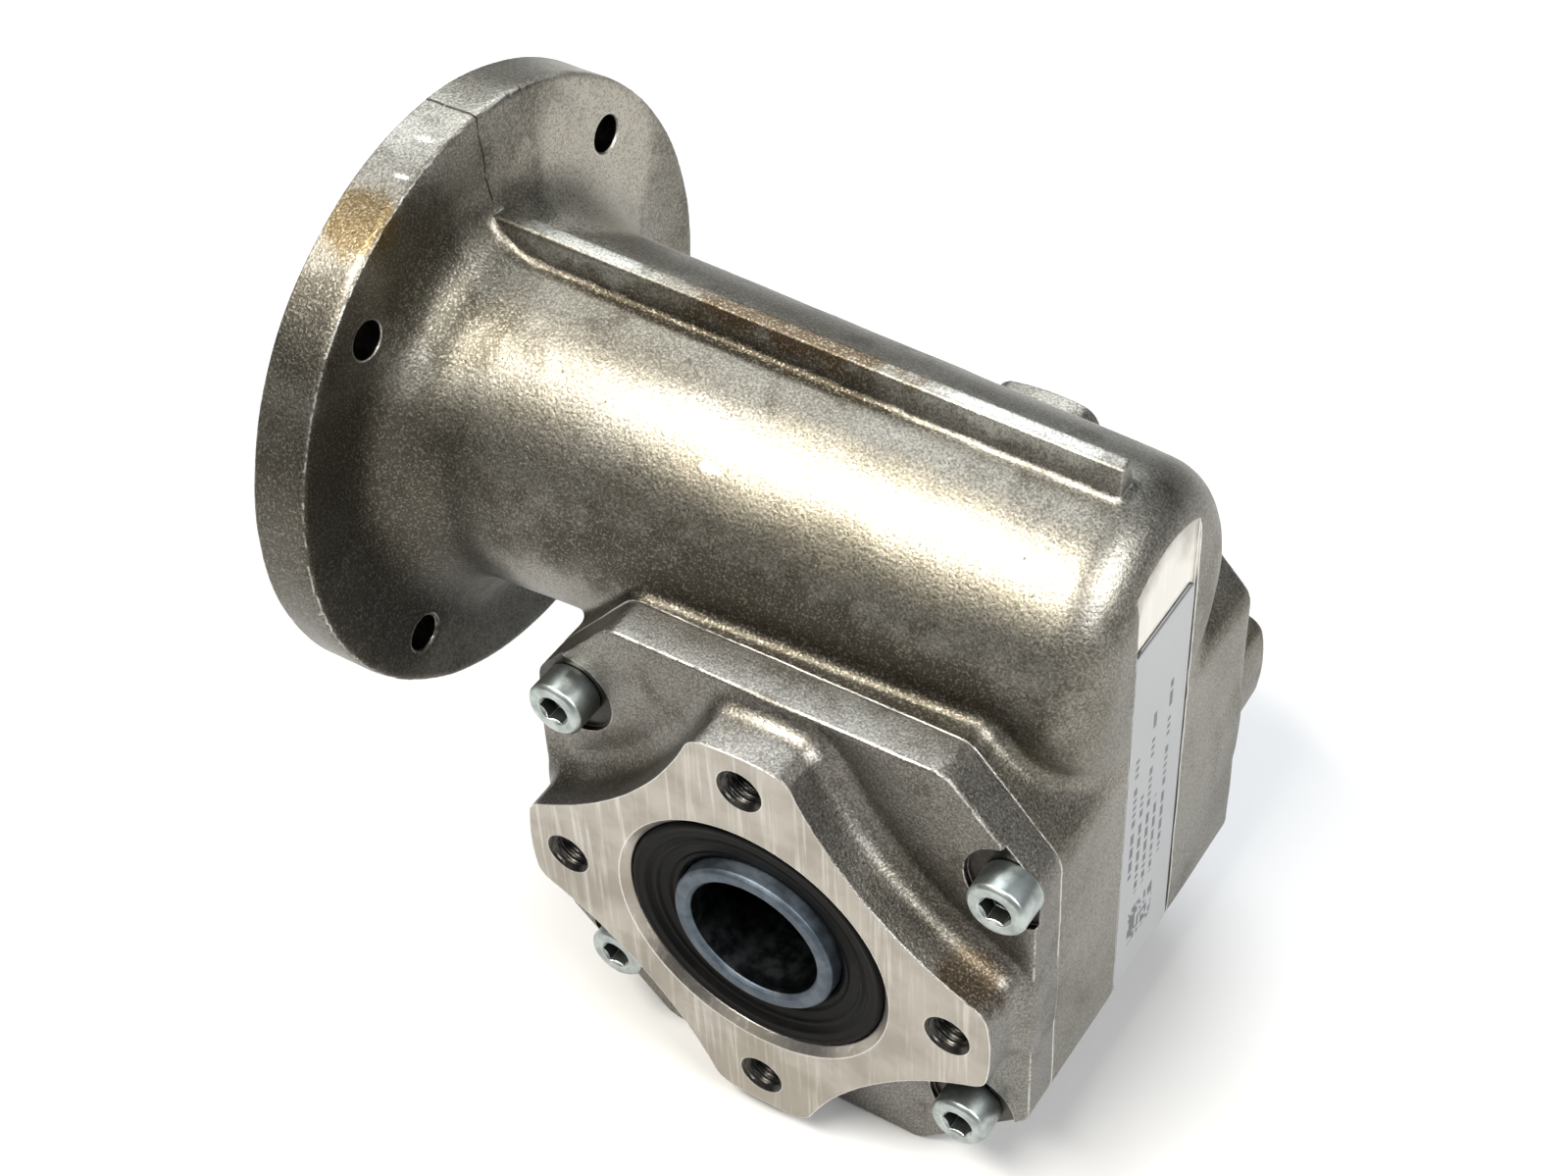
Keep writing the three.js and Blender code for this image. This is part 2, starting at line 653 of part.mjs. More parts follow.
function makeHub() {
  const bore = boreRadius(OUTPUT_SHOULDER_R, 28);
  const half = HUB_HALF_WIDTH;
  const web = 18.6;
  const hub = lathe([
    [bore, -half], [web, -half], [web, -WHEEL_HALF_WIDTH], [RIM_INNER_R, -WHEEL_HALF_WIDTH],
    [RIM_INNER_R, WHEEL_HALF_WIDTH], [web, WHEEL_HALF_WIDTH], [web, half], [bore, half],
  ], 28);
  const low = OUTPUT_SHOULDER_R - 3;
  const keyway = box(
    -KEY_WIDTH / 2 - 0.15, KEY_WIDTH / 2 + 0.15, -half - 1, half + 1, low,
    OUTPUT_SHOULDER_R - 2.5 + KEY_HEIGHT + 0.2,
  );
  return cut(hub, keyway);
}

// Hollow output shaft, flush with both output faces, with a plain bore right through.
function makeOutputShaft() {
  const end = FACE_Y;
  const chamfer = 0.5;
  const shaft = lathe([
    [OUTPUT_BORE_R + chamfer, -end], [OUTPUT_SEAT_R - chamfer, -end],
    [OUTPUT_SEAT_R, -end + chamfer], [OUTPUT_SEAT_R, -OUTPUT_SHOULDER_Y],
    [OUTPUT_SHOULDER_R, -OUTPUT_SHOULDER_Y], [OUTPUT_SHOULDER_R, OUTPUT_SHOULDER_Y],
    [OUTPUT_SEAT_R, OUTPUT_SHOULDER_Y], [OUTPUT_SEAT_R, end - chamfer],
    [OUTPUT_SEAT_R - chamfer, end], [OUTPUT_BORE_R + chamfer, end],
    [OUTPUT_BORE_R, end - chamfer], [OUTPUT_BORE_R, -end + chamfer],
  ], 28);
  return cut(shaft, keySpace(0.15));
}

// One helical thread of the worm as a swept trapezoid that starts and ends inside the shaft.
function wormThread(startAngle) {
  const lead = Math.PI * MODULE * WORM_STARTS;
  const rootR = WORM_PITCH_R - 1.2 * MODULE;
  const tipR = WORM_PITCH_R + MODULE;
  const slope = Math.tan(PRESSURE_ANGLE);
  const halfAt = (r) => Math.PI * MODULE / 4 - (r - WORM_PITCH_R) * slope;
  const buried = rootR - 0.6;
  const stepsPerTurn = 12;
  const turns = (2 * WORM_HALF_LENGTH) / lead;
  const steps = Math.round(turns * stepsPerTurn);
  const layers = [];
  for (let i = 0; i <= steps; i += 1) {
    const x = -WORM_HALF_LENGTH + (2 * WORM_HALF_LENGTH * i) / steps;
    const angle = startAngle + (x / lead) * TAU;
    const corners = [
      [buried, -halfAt(buried)], [buried, halfAt(buried)],
      [tipR, halfAt(tipR)], [tipR, -halfAt(tipR)],
    ];
    layers.push(corners.map(([r, dx]) => [x + dx, r * Math.sin(angle), -r * Math.cos(angle)]));
  }
  return loft(layers);
}

const MOTOR_BORE_END_X = FLANGE_FACE_X + 3 + MOTOR_SHAFT_DEPTH;

// Worm shaft: motor shaft socket with keyway, bearing seats, threads and a plain end.
function makeWormShaft() {
  const start = FLANGE_FACE_X + 3;
  const rootR = WORM_PITCH_R - 1.2 * MODULE;
  const shoulderR = 11.5;
  const endSeat = END_BEARING_X - 0.1;
  const motorSeat = MOTOR_BEARING_X + 0.1;
  const shaftEnd = END_BEARING_X + END_BEARING.width - 0.3;
  const shaft = latheX([
    [0, start], [MOTOR_BEARING.inner - 0.5, start], [MOTOR_BEARING.inner, start + 0.5],
    [MOTOR_BEARING.inner, motorSeat], [shoulderR, motorSeat], [shoulderR, motorSeat + 5],
    [rootR, motorSeat + 7], [rootR, endSeat - 2], [END_BEARING.inner + 2, endSeat],
    [END_BEARING.inner, endSeat], [END_BEARING.inner, shaftEnd - 0.5],
    [END_BEARING.inner - 0.5, shaftEnd], [0, shaftEnd],
  ], 24);
  const threads = Array.from({ length: WORM_STARTS }, (_, i) => wormThread((i / WORM_STARTS) * TAU));
  const envelope = latheX([
    [0, -WORM_HALF_LENGTH - 4],
    [rootR - 0.5, -WORM_HALF_LENGTH - 4],
    [WORM_PITCH_R + 2 * MODULE, -WORM_HALF_LENGTH + 1.5],
    [WORM_PITCH_R + 2 * MODULE, WORM_HALF_LENGTH - 1.5],
    [rootR - 0.5, WORM_HALF_LENGTH + 4],
    [0, WORM_HALF_LENGTH + 4],
  ], 12);
  const socket = latheX([
    [0, start - 1], [MOTOR_SHAFT_R, start - 1], [MOTOR_SHAFT_R, MOTOR_BORE_END_X],
    [0, MOTOR_BORE_END_X + 2],
  ], 20);
  const keyHalf = 2;
  const keyTop = 7.3;
  const keyway = box(start - 1, MOTOR_BORE_END_X - 1, -keyHalf, keyHalf, 0, keyTop);
  const worm = join(shaft, join(...threads).intersect(envelope));
  return cut(worm, socket, keyway);
}

// ---------------------------------------------------------------- small static pieces

// Internal retaining ring with a gap at the bottom, in the groove next to the motor side bearing.
function makeCirclip() {
  const outerR = MOTOR_BEARING.outer + 1.1;
  const ring = latheX([
    [outerR - 3.4, 0], [outerR, 0], [outerR, CIRCLIP_WIDTH - 0.25], [outerR - 3.4, CIRCLIP_WIDTH - 0.25],
  ], 28);
  const gap = box(-1, CIRCLIP_WIDTH + 1, -3, 3, -outerR - 1, -outerR + 6);
  const x = MOTOR_BEARING_X - MOTOR_BEARING.width - RUNNING_GAP - CIRCLIP_WIDTH;
  return cut(ring, gap).translate([x, 0, CENTRE_DISTANCE]);
}

// Shim between the closed end's wall and the end bearing's outer ring.
function makeEndShim() {
  const x = END_BEARING_X + END_BEARING.width + 0.3;
  const outer = END_BEARING.outer - 0.3;
  return latheX([[outer - 3, x], [outer, x], [outer, x + 0.8], [outer - 3, x + 0.8]], 24)
    .translate([0, 0, CENTRE_DISTANCE]);
}

// Rating label: a thin film in the milled band on the closed end, with rounded corners.
function makeLabel() {
  const half = BAND_HALF_WIDTH - 0.5;
  const radius = 1.2;
  const shape = new THREE.Shape();
  shape.moveTo(-half + radius, LABEL_BOTTOM_Z);
  shape.lineTo(half - radius, LABEL_BOTTOM_Z);
  shape.absarc(half - radius, LABEL_BOTTOM_Z + radius, radius, -Math.PI / 2, 0);
  shape.lineTo(half, LABEL_TOP_Z - radius);
  shape.absarc(half - radius, LABEL_TOP_Z - radius, radius, 0, Math.PI / 2);
  shape.lineTo(-half + radius, LABEL_TOP_Z);
  shape.absarc(-half + radius, LABEL_TOP_Z - radius, radius, Math.PI / 2, Math.PI);
  shape.lineTo(-half, LABEL_BOTTOM_Z + radius);
  shape.absarc(-half + radius, LABEL_BOTTOM_Z + radius, radius, Math.PI, Math.PI * 1.5);
  const film = new THREE.ExtrudeGeometry(shape, {
    depth: LABEL_THICKNESS, bevelEnabled: false, curveSegments: 4,
  });
  // The shape's X runs along Y of the gearbox, its Y along Z, and its depth along X.
  film.rotateX(Math.PI / 2);
  film.rotateZ(Math.PI / 2);
  return solidFrom(film).translate([END_FACE_X - BAND_DEPTH + 0.1, 0, 0]);
}

// ---------------------------------------------------------------- assembly

addPiece('housing', makeHousing(), materials.castAluminium);
addPiece('output_cover', makeCover(), materials.coverAluminium);
addPiece('cover_o_ring', makeORing(), materials.rubber);
SCREW_PLACES.forEach((place, i) => {
  addPiece(`cover_screw_${i + 1}`, makeCapScrew(place), materials.zincSteel);
});

// Turn a piece built about Y so that it lies about the worm axis, starting at x and running to +X.
function ontoWormAxis(solid, x) {
  return solid.rotate([0, 0, -90]).translate([x, 0, CENTRE_DISTANCE]);
}

function addBearing(name, bearing, place) {
  addPiece(`${name}_outer_ring`, place(bearing.outerRing), materials.bearingSteel);
  addPiece(`${name}_inner_ring`, place(bearing.innerRing), materials.bearingSteel);
  addPiece(`${name}_ball_cage`, place(bearing.cage), materials.bearingSteel);
}

const outputBearing = makeBearing(OUTPUT_BEARING);
const outputBearingY = OUTPUT_SHOULDER_Y + 0.1;
addBearing('front_output_bearing', outputBearing, (solid) => (
  solid.translate([0, -outputBearingY - OUTPUT_BEARING.width, 0])));
addBearing('rear_output_bearing', outputBearing, (solid) => solid.translate([0, outputBearingY, 0]));
addBearing('motor_side_worm_bearing', makeBearing(MOTOR_BEARING), (solid) => (
  ontoWormAxis(solid, MOTOR_BEARING_X - MOTOR_BEARING.width)));
addBearing('end_worm_bearing', makeBearing(END_BEARING), (solid) => ontoWormAxis(solid, END_BEARING_X));

const outputSeal = makeSeal(OUTPUT_SEAL);
const sealFaceY = FACE_Y - SEAL_RECESS;
addPiece('front_output_seal', outputSeal.translate([0, -sealFaceY, 0]), materials.rubber);
addPiece('rear_output_seal', outputSeal.rotate([180, 0, 0]).translate([0, sealFaceY, 0]), materials.rubber);
addPiece('input_seal', ontoWormAxis(makeSeal(INPUT_SEAL), FLANGE_FACE_X + SPIGOT_DEPTH + 1), materials.rubber);

addPiece('output_shaft', makeOutputShaft(), materials.shaftSteel);
addPiece('wheel_key', keySpace(0), materials.zincSteel);
addPiece('wheel_hub', makeHub(), materials.castIron);
addPiece('worm_wheel_rim', makeWheelRim(), materials.bronze);
addPiece('worm_shaft', makeWormShaft().translate([0, 0, CENTRE_DISTANCE]), materials.shaftSteel);
addPiece('bearing_circlip', makeCirclip(), materials.springSteel);
addPiece('end_bearing_shim', makeEndShim(), materials.springSteel);
addPiece('rating_label', makeLabel(), materials.labelFilm);

export default gearbox;
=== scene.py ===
"""Looks of the right angle worm gearbox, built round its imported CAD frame.

Every shape is worked out in millimetres about the gear origin: the output axis runs along Y through it,
and the worm axis runs along X, one centre distance above. The meshes are then written in metres where
the frame's joints are. The two castings are rounded distance fields, cut afterwards by the machining.
"""

import json
import math

import bpy
import numpy as np
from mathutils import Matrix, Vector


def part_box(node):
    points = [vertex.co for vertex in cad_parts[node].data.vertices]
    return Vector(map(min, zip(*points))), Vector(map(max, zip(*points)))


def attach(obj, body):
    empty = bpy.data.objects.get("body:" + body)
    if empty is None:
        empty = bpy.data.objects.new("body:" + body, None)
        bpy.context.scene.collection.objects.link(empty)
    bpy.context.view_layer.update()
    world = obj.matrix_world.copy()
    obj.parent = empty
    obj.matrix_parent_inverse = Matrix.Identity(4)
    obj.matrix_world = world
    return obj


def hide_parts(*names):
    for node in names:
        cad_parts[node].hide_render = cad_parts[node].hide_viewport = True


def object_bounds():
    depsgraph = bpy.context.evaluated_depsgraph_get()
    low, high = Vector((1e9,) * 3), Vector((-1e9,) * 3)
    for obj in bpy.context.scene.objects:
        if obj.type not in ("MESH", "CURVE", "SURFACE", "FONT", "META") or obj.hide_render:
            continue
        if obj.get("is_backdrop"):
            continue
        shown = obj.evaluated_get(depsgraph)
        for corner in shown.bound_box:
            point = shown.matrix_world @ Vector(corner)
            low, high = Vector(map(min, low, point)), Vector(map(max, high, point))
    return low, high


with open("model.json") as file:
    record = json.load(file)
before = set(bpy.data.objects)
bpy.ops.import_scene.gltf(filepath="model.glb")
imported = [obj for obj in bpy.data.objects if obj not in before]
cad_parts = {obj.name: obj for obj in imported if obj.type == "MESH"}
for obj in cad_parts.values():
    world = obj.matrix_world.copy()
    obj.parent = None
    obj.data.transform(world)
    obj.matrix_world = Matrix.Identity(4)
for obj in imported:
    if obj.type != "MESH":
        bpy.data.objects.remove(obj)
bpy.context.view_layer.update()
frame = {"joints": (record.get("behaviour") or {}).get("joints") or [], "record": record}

import openvdb
from mathutils import Quaternion, Vector

MM = 0.001
TAU = 2 * math.pi

# ---- sizes that the frame gives

record = frame["record"]
joint_at = {joint["name"]: Vector(joint["pos_m"]) for joint in frame["joints"]}
ORIGIN = joint_at["output_spin"]
CENTRE = (joint_at["worm_spin"].z - ORIGIN.z) / MM
BODY_OF = {node: body for body, nodes in record["behaviour"]["bodies"].items() for node in nodes}


def extent(node):
    """Lowest and highest corner of a CAD node, in millimetres about the gear origin."""
    low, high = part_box(node)
    return (low - ORIGIN) / MM, (high - ORIGIN) / MM


CASE_LOW, CASE_HIGH = extent("housing")
COVER_LOW = extent("output_cover")[0]
FLANGE_FACE_X = CASE_LOW.x
END_FACE_X = CASE_HIGH.x
FACE_Y = -COVER_LOW.y
FLANGE_R = CASE_HIGH.z - CENTRE
BODY_HALF_WIDTH = END_FACE_X
BODY_HALF_HEIGHT = -CASE_LOW.z

# ---- sizes of the details

# Castings
FLANGE_BACK_X = FLANGE_FACE_X + 8.5
TUBE_R_FLANGE = 26.0
TUBE_R_END = 22.3
FLANGE_FILLET = 9.0
SHOULDER_FILLET = 2.2
END_ROUNDING = 8.0
RIB = {"height": 4.4, "top": 2.5, "foot": 4.0, "start": -62.0, "end": 31.5}
UPPER_CHAMFER = (13.2, 14.6)
LOWER_CHAMFER = (17.0, 17.0)
BODY_REAR_Y = 29.0
COVER_FACE_Y = -32.8
PARTING_Y = -26.4
PARTING_GAP = 0.12
STAR_R = 36.4
STAR_ARM_HALF_WIDTH = 7.4
STAR_SCOOP_R = 53.0
STAR_FILLET = 3.4
STAR_CORNER = 1.4
BODY_CORNER = 1.3
COVER_EDGE = 0.5
CAST_WAVES = 0.05
WAVE_INSET = 0.11
MOULD_STEP = 0.16
SKIN_ADAPTIVITY = 0.005

# Machining
CHAMBER_R = 32.6
CHAMBER_REAR_Y = 16.0
TUNNEL_R = 16.5
SPIGOT_R = 30.0
SPIGOT_DEPTH = 3.5
OUTPUT_BEARING_R = 23.5
OUTPUT_SEAL_R = 20.0
OUTPUT_SHOULDER_R = 18.5
SEAL_RECESS = 0.8
SEAL_WIDTH = 7.0
WORM_BEARING_R = 21.0
END_BEARING_R = 17.5
STAR_HOLE_CIRCLE_R = 30.0
FLANGE_HOLE_CIRCLE_R = 37.5
FLANGE_HOLE_R = 2.75
BAND_HALF_WIDTH = 8.5
BAND_DEPTH = 0.6
SPOT_FACE_R = 6.6
SPOT_FACE_Y = -31.8
FIT_GAP = 0.12
CUT_REACH = 100
SCREW_PLACES = [(-32.2, 24.0), (34.5, 24.0), (-27.2, -24.6), (29.5, -24.6)]

# Internals
SEAT_R = 12.5
MOTOR_SEAT_R = 10.0
END_SEAT_R = 7.5
MOTOR_BEARING_X = (-56, -44)
END_BEARING_X = (21.5, 32.5)
OUTPUT_BEARING_Y = (18.5, 30.5)
O_RING_Y = -23.6
TEETH = 28
STARTS = 2
MODULE = 2.0
WORM_PITCH_R = 12.5

# ---- meshes


def to_row(points):
    """Millimetres about the gear origin to metres in the frame."""
    return np.asarray(points, float) * MM + np.array(ORIGIN)


def to_gear(points):
    return (points - np.array(ORIGIN)) / MM


def add_object(name, data):
    item = bpy.data.objects.new(name, data)
    bpy.context.scene.collection.objects.link(item)
    return item


def make_object(name, points, faces):
    """A closed mesh with its faces pointing out, from points in millimetres about the gear origin."""
    mesh = bpy.data.meshes.new(name)
    mesh.from_pydata(to_row(points).tolist(), [], [list(map(int, face)) for face in faces])
    mesh.validate()
    if signed_volume(mesh) < 0:
        mesh.flip_normals()
    return add_object(name, mesh)


def vectors(items, attribute):
    """One vector attribute of all the vertices or polygons of a mesh, a row each."""
    values = np.empty(len(items) * 3)
    items.foreach_get(attribute, values)
    return values.reshape(-1, 3)


def signed_volume(mesh):
    mesh.calc_loop_triangles()
    triangles = np.empty(len(mesh.loop_triangles) * 3, int)
    mesh.loop_triangles.foreach_get("vertices", triangles)
    points = vectors(mesh.vertices, "co")
    a, b, c = (points[triangles.reshape(-1, 3)[:, k]] for k in range(3))
    return float(np.einsum("ij,ij->i", a, np.cross(b, c)).sum())


def about_y(radius, angle, along):
    return np.stack([radius * np.cos(angle), along + 0 * angle, radius * np.sin(angle)], -1)


def about_x(radius, angle, along):
    return np.stack([along + 0 * angle, radius * np.cos(angle), CENTRE + radius * np.sin(angle)], -1)


def rounded(profile, size=0.3):
    """The closed profile with each corner off the axis drawn as a small curve."""
    points = [np.array(p, float) for p in profile]
    count = len(points)
    out = []
    for i, here in enumerate(points):
        before, after = points[i - 1], points[(i + 1) % count]
        reach_a, reach_b = np.linalg.norm(before - here), np.linalg.norm(after - here)
        if here[0] < 1e-6 or min(reach_a, reach_b) < 1e-6:
            out.append(here)
            continue
        near = here + (before - here) * min(size / reach_a, 0.42)
        far = here + (after - here) * min(size / reach_b, 0.42)
        for t in (0, 0.35, 0.65, 1):
            out.append(near * (1 - t) ** 2 + here * 2 * t * (1 - t) + far * t * t)
    return out


def sleeve(inner, outer, start, end):
    """Profile of a plain sleeve, or of a cylinder where the inner radius is 0."""
    return [(inner, start), (outer, start), (outer, end), (inner, end)]


def lathe(name, profile, about=about_y, segments=128, at=(0, 0, 0)):
    """A closed solid of revolution. The profile is a closed loop of (radius, distance along)."""
    angle = np.arange(segments) * TAU / segments
    rings, points, total = [], [], 0
    for radius, along in profile:
        ring = about(radius, angle, along) if radius > 1e-6 else about(0, np.zeros(1), along)
        rings.append(np.arange(total, total + len(ring)))
        total += len(ring)
        points.append(ring)
    faces = []
    for i, low in enumerate(rings):
        high = rings[(i + 1) % len(rings)]
        if len(low) == 1 and len(high) == 1:
            continue
        for k in range(segments):
            m = (k + 1) % segments
            a, b = low[k % len(low)], low[m % len(low)]
            c, d = high[m % len(high)], high[k % len(high)]
            faces.append([v for j, v in enumerate((a, b, c, d)) if v not in (a, b, c, d)[:j]])
    return make_object(name, np.concatenate(points) + np.array(at), faces)


def turned(name, radius_at, start, end, steps, about=about_y, segments=96, at=(0, 0, 0)):
    """A bar whose radius follows radius_at(angle, along), closed by a fan at each end."""
    angle = np.arange(segments) * TAU / segments
    rings = [about(radius_at(angle, s), angle, s) for s in np.linspace(start, end, steps + 1)]
    centres = [about(0, np.zeros(1), s) for s in (start, end)]
    points = np.concatenate(rings + centres) + np.array(at)
    first, last = len(rings) * segments, len(rings) * segments + 1
    faces = []
    for k in range(segments):
        m = (k + 1) % segments
        for row in range(steps):
            a = row * segments
            faces.append((a + k, a + m, a + segments + m, a + segments + k))
        faces.append((first, m, k))
        faces.append((last, steps * segments + k, steps * segments + m))
    return make_object(name, points, faces)


def six_sided(name, points):
    """A solid with eight corners, which run through X, then Y, then Z, each low to high."""
    faces = [(0, 1, 3, 2), (4, 6, 7, 5), (0, 4, 5, 1), (2, 3, 7, 6), (0, 2, 6, 4), (1, 5, 7, 3)]
    return make_object(name, points, faces)


def block(name, low, high):
    """A box cutter or key between two corners."""
    (x0, y0, z0), (x1, y1, z1) = low, high
    return six_sided(name, [(x, y, z) for x in (x0, x1) for y in (y0, y1) for z in (z0, z1)])


def apply_modifier(piece):
    """Makes a piece's modified mesh its own, with no materials yet."""
    bpy.context.view_layer.update()
    evaluated = piece.evaluated_get(bpy.context.evaluated_depsgraph_get())
    result = bpy.data.meshes.new_from_object(evaluated)
    result.materials.clear()
    piece.modifiers.clear()
    piece.data = result
    return piece


def combine(piece, tools, operation="DIFFERENCE"):
    """Cuts the tools from a piece, or joins them to it, and removes the tools."""
    for tool in tools:
        modifier = piece.modifiers.new("tool", "BOOLEAN")
        modifier.solver = "MANIFOLD"
        modifier.operation = operation
        modifier.object = tool
        apply_modifier(piece)
        bpy.data.objects.remove(tool)
    return piece


def soften(piece, width_mm, segments):
    """Rounds every edge of a small piece."""
    bevel = piece.modifiers.new("edges", "BEVEL")
    bevel.width = width_mm * MM
    bevel.segments = segments
    return apply_modifier(piece)


def smooth(piece, angle=32):
    """Smooth shading with edges sharper than the angle kept crisp."""
    mesh = piece.data
    mesh.shade_smooth()
    mesh.set_sharp_from_angle(angle=math.radians(angle))
    return piece


def stand_for(piece, node, *materials):
    """Dress a piece, let it ride on its node's body and hide that node."""
    for material in materials:
        piece.data.materials.append(material)
    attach(piece, BODY_OF[node])
    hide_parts(node)
    return piece


# ---- distance fields


def round_max(a, b, radius):
    """Both shapes together, with a convex edge of that radius."""
    a, b = a + radius, b + radius
    return np.minimum(np.maximum(a, b), 0) + np.hypot(np.maximum(a, 0), np.maximum(b, 0)) - radius


def round_min(a, b, radius):
    """Either shape, with a concave fillet of that radius."""
    return -round_max(-a, -b, radius)


def cast_waves(x, y, z):
    """Slow unevenness of a cast skin: fixed waves in mixed directions, kept inside the nominal shape."""
    random = np.random.default_rng(7)
    height = 0
    for _ in range(9):
        direction = random.normal(size=3)
        direction *= TAU / random.uniform(7, 26) / np.linalg.norm(direction)
        phase = random.uniform(0, TAU)
        height = height + np.sin(x * direction[0] + y * direction[1] + z * direction[2] + phase)
    return height * CAST_WAVES / 3 + WAVE_INSET


def body_outline(x, z):
    """The eight sided outline in the X-Z plane, with rounded corners."""
    across = np.abs(x) - BODY_HALF_WIDTH
    up = z - BODY_HALF_HEIGHT
    down = -z - BODY_HALF_HEIGHT
    shape = round_max(across, np.maximum(up, down), BODY_CORNER)
    for side, (dx, dz) in ((up, UPPER_CHAMFER), (down, LOWER_CHAMFER)):
        slant = (across * dz + side * dx + dx * dz) / math.hypot(dx, dz)
        shape = round_max(shape, slant, BODY_CORNER)
    return shape


def star_outline(x, z):
    """A turned disc with four scooped sides. Its arms point along X and Z."""
    tip = math.sqrt(STAR_R**2 - STAR_ARM_HALF_WIDTH**2)
    middle = (tip + STAR_ARM_HALF_WIDTH) / math.sqrt(2)
    half_chord = (tip - STAR_ARM_HALF_WIDTH) / math.sqrt(2)
    centre = (middle + math.sqrt(STAR_SCOOP_R**2 - half_chord**2)) / math.sqrt(2)
    scoop = STAR_SCOOP_R - np.hypot(np.abs(x) - centre, np.abs(z) - centre)
    return round_max(np.hypot(x, z) - STAR_R, scoop, STAR_CORNER)


def tube_radius(x):
    start = FLANGE_BACK_X + FLANGE_FILLET
    end = END_FACE_X - END_ROUNDING
    return TUBE_R_FLANGE + (TUBE_R_END - TUBE_R_FLANGE) * (x - start) / (end - start)


def rib_field(x, y, up):
    """The foot of the rib, a little inside it, so that a fillet runs round the rib."""
    above = up - tube_radius(x)
    draft = (RIB["foot"] - RIB["top"]) / 2 / RIB["height"]
    inset = 0.2
    side = np.abs(y) - RIB["foot"] / 2 + inset + draft * np.clip(above, 0, RIB["height"])
    ends = np.maximum(RIB["start"] + inset - x, x - RIB["end"] + inset)
    return np.maximum(np.maximum(side, ends), np.maximum(above - RIB["height"] + 0.8, -up))


def make_rib():
    """The rib's drafted walls and flat top, with softened edges."""
    sunk = 1.5
    points = []
    for x in (RIB["start"], RIB["end"]):
        foot, top = CENTRE + tube_radius(x) - sunk, CENTRE + tube_radius(x) + RIB["height"]
        for half, z in ((RIB["foot"] / 2, foot), (RIB["top"] / 2, top)):
            points += [(x, -half, z), (x, half, z)]
    return soften(six_sided("rib", points), 0.4, 3)


def housing_field(x, y, z):
    """Distance to the housing's cast skin: flange, tube, rib, body and rear face boss."""
    up = z - CENTRE
    reach = np.hypot(y, up)
    waves = cast_waves(x, y, z)
    tube = round_max(reach - tube_radius(x), x - END_FACE_X, END_ROUNDING)
    mismatch = MOULD_STEP / (1 + np.exp(np.clip(y * 6, -30, 30))) * (up > 0)
    flange = round_max(reach - FLANGE_R + mismatch * 0.6, x - FLANGE_BACK_X + mismatch, 0.8)
    cast = round_min(tube, flange, FLANGE_FILLET)
    cast = round_min(cast, rib_field(x, y, up), 1.1)
    body = round_max(body_outline(x, z), y - BODY_REAR_Y, 1.5)
    cast = round_min(cast, np.maximum(body, PARTING_Y - 1 - y), SHOULDER_FILLET)
    boss = np.maximum(star_outline(x, z) - 0.02 * (FACE_Y - y), BODY_REAR_Y - 6 - y)
    cast = round_min(cast, np.maximum(boss, y - FACE_Y - 1), STAR_FILLET)
    return np.maximum(cast + waves, FLANGE_FACE_X - 1 - x)


def cover_field(x, y, z):
    """Distance to the cover's cast skin: the plate and the boss with the four arms."""
    plate = round_max(body_outline(x, z) + 0.1, COVER_FACE_Y - y, COVER_EDGE)
    plate = np.maximum(plate, y - PARTING_Y - 1)
    boss = np.maximum(star_outline(x, z) - 0.02 * (y + FACE_Y), y - PARTING_Y - 1)
    cast = round_min(plate, np.maximum(boss, -FACE_Y - 1 - y), STAR_FILLET)
    return cast + 0.7 * cast_waves(x, y, z)


def cast_skin(name, field, low, high, step):
    """A closed mesh round a distance field, sampled on a grid between two corners."""
    axes = [np.arange(a, b + step, step) for a, b in zip(low, high)]
    x, y, z = np.meshgrid(*axes, indexing="ij", sparse=True)
    volume = openvdb.FloatGrid()
    volume.copyFromArray(np.broadcast_to(field(x, y, z), [len(a) for a in axes]).astype(float))
    points, triangles, quads = volume.convertToPolygons(isovalue=0.0, adaptivity=SKIN_ADAPTIVITY)
    return make_object(name, points * step + np.array(low), triangles.tolist() + quads.tolist())


def on_rib(x, y, z):
    """Whether a place is on the rib, which is cast although it is not in the housing's field."""
    return (np.abs(y) < RIB["foot"] / 2 + 0.2) & (z - CENTRE > tube_radius(x) - 0.6) & (x > FLANGE_BACK_X)


def mark_machined(piece, field, holes):
    """Faces off the cast skin, or turned away from it, were cut: they take the second material.
    Faces inside small holes take the third, a painted shade. Each hole is (axis, place across it, radius)."""
    polygons = piece.data.polygons
    places = to_gear(vectors(polygons, "center"))
    here = field(*places.T)
    nudge, off_skin, least_facing = 0.05, 0.3, 0.6
    slope = np.stack([field(*(places + nudge * axis).T) - here for axis in np.eye(3)], 1) / nudge
    facing = (slope * vectors(polygons, "normal")).sum(1) / np.linalg.norm(slope, axis=1)
    cut = (np.abs(here) > off_skin) | (facing < least_facing)
    finish = (cut & ~on_rib(*places.T)).astype(np.int32)
    facing_depth = 0.05
    faced = (np.abs(places[:, 1]) > FACE_Y - facing_depth) | (places[:, 0] < FLANGE_FACE_X + facing_depth)
    for axis, place, radius in holes:
        across = np.delete(places, axis, 1) - np.array(place)
        finish[(np.hypot(*across.T) < radius) & (finish == 1) & ~faced] = 2
    polygons.foreach_set("material_index", finish)
    return piece


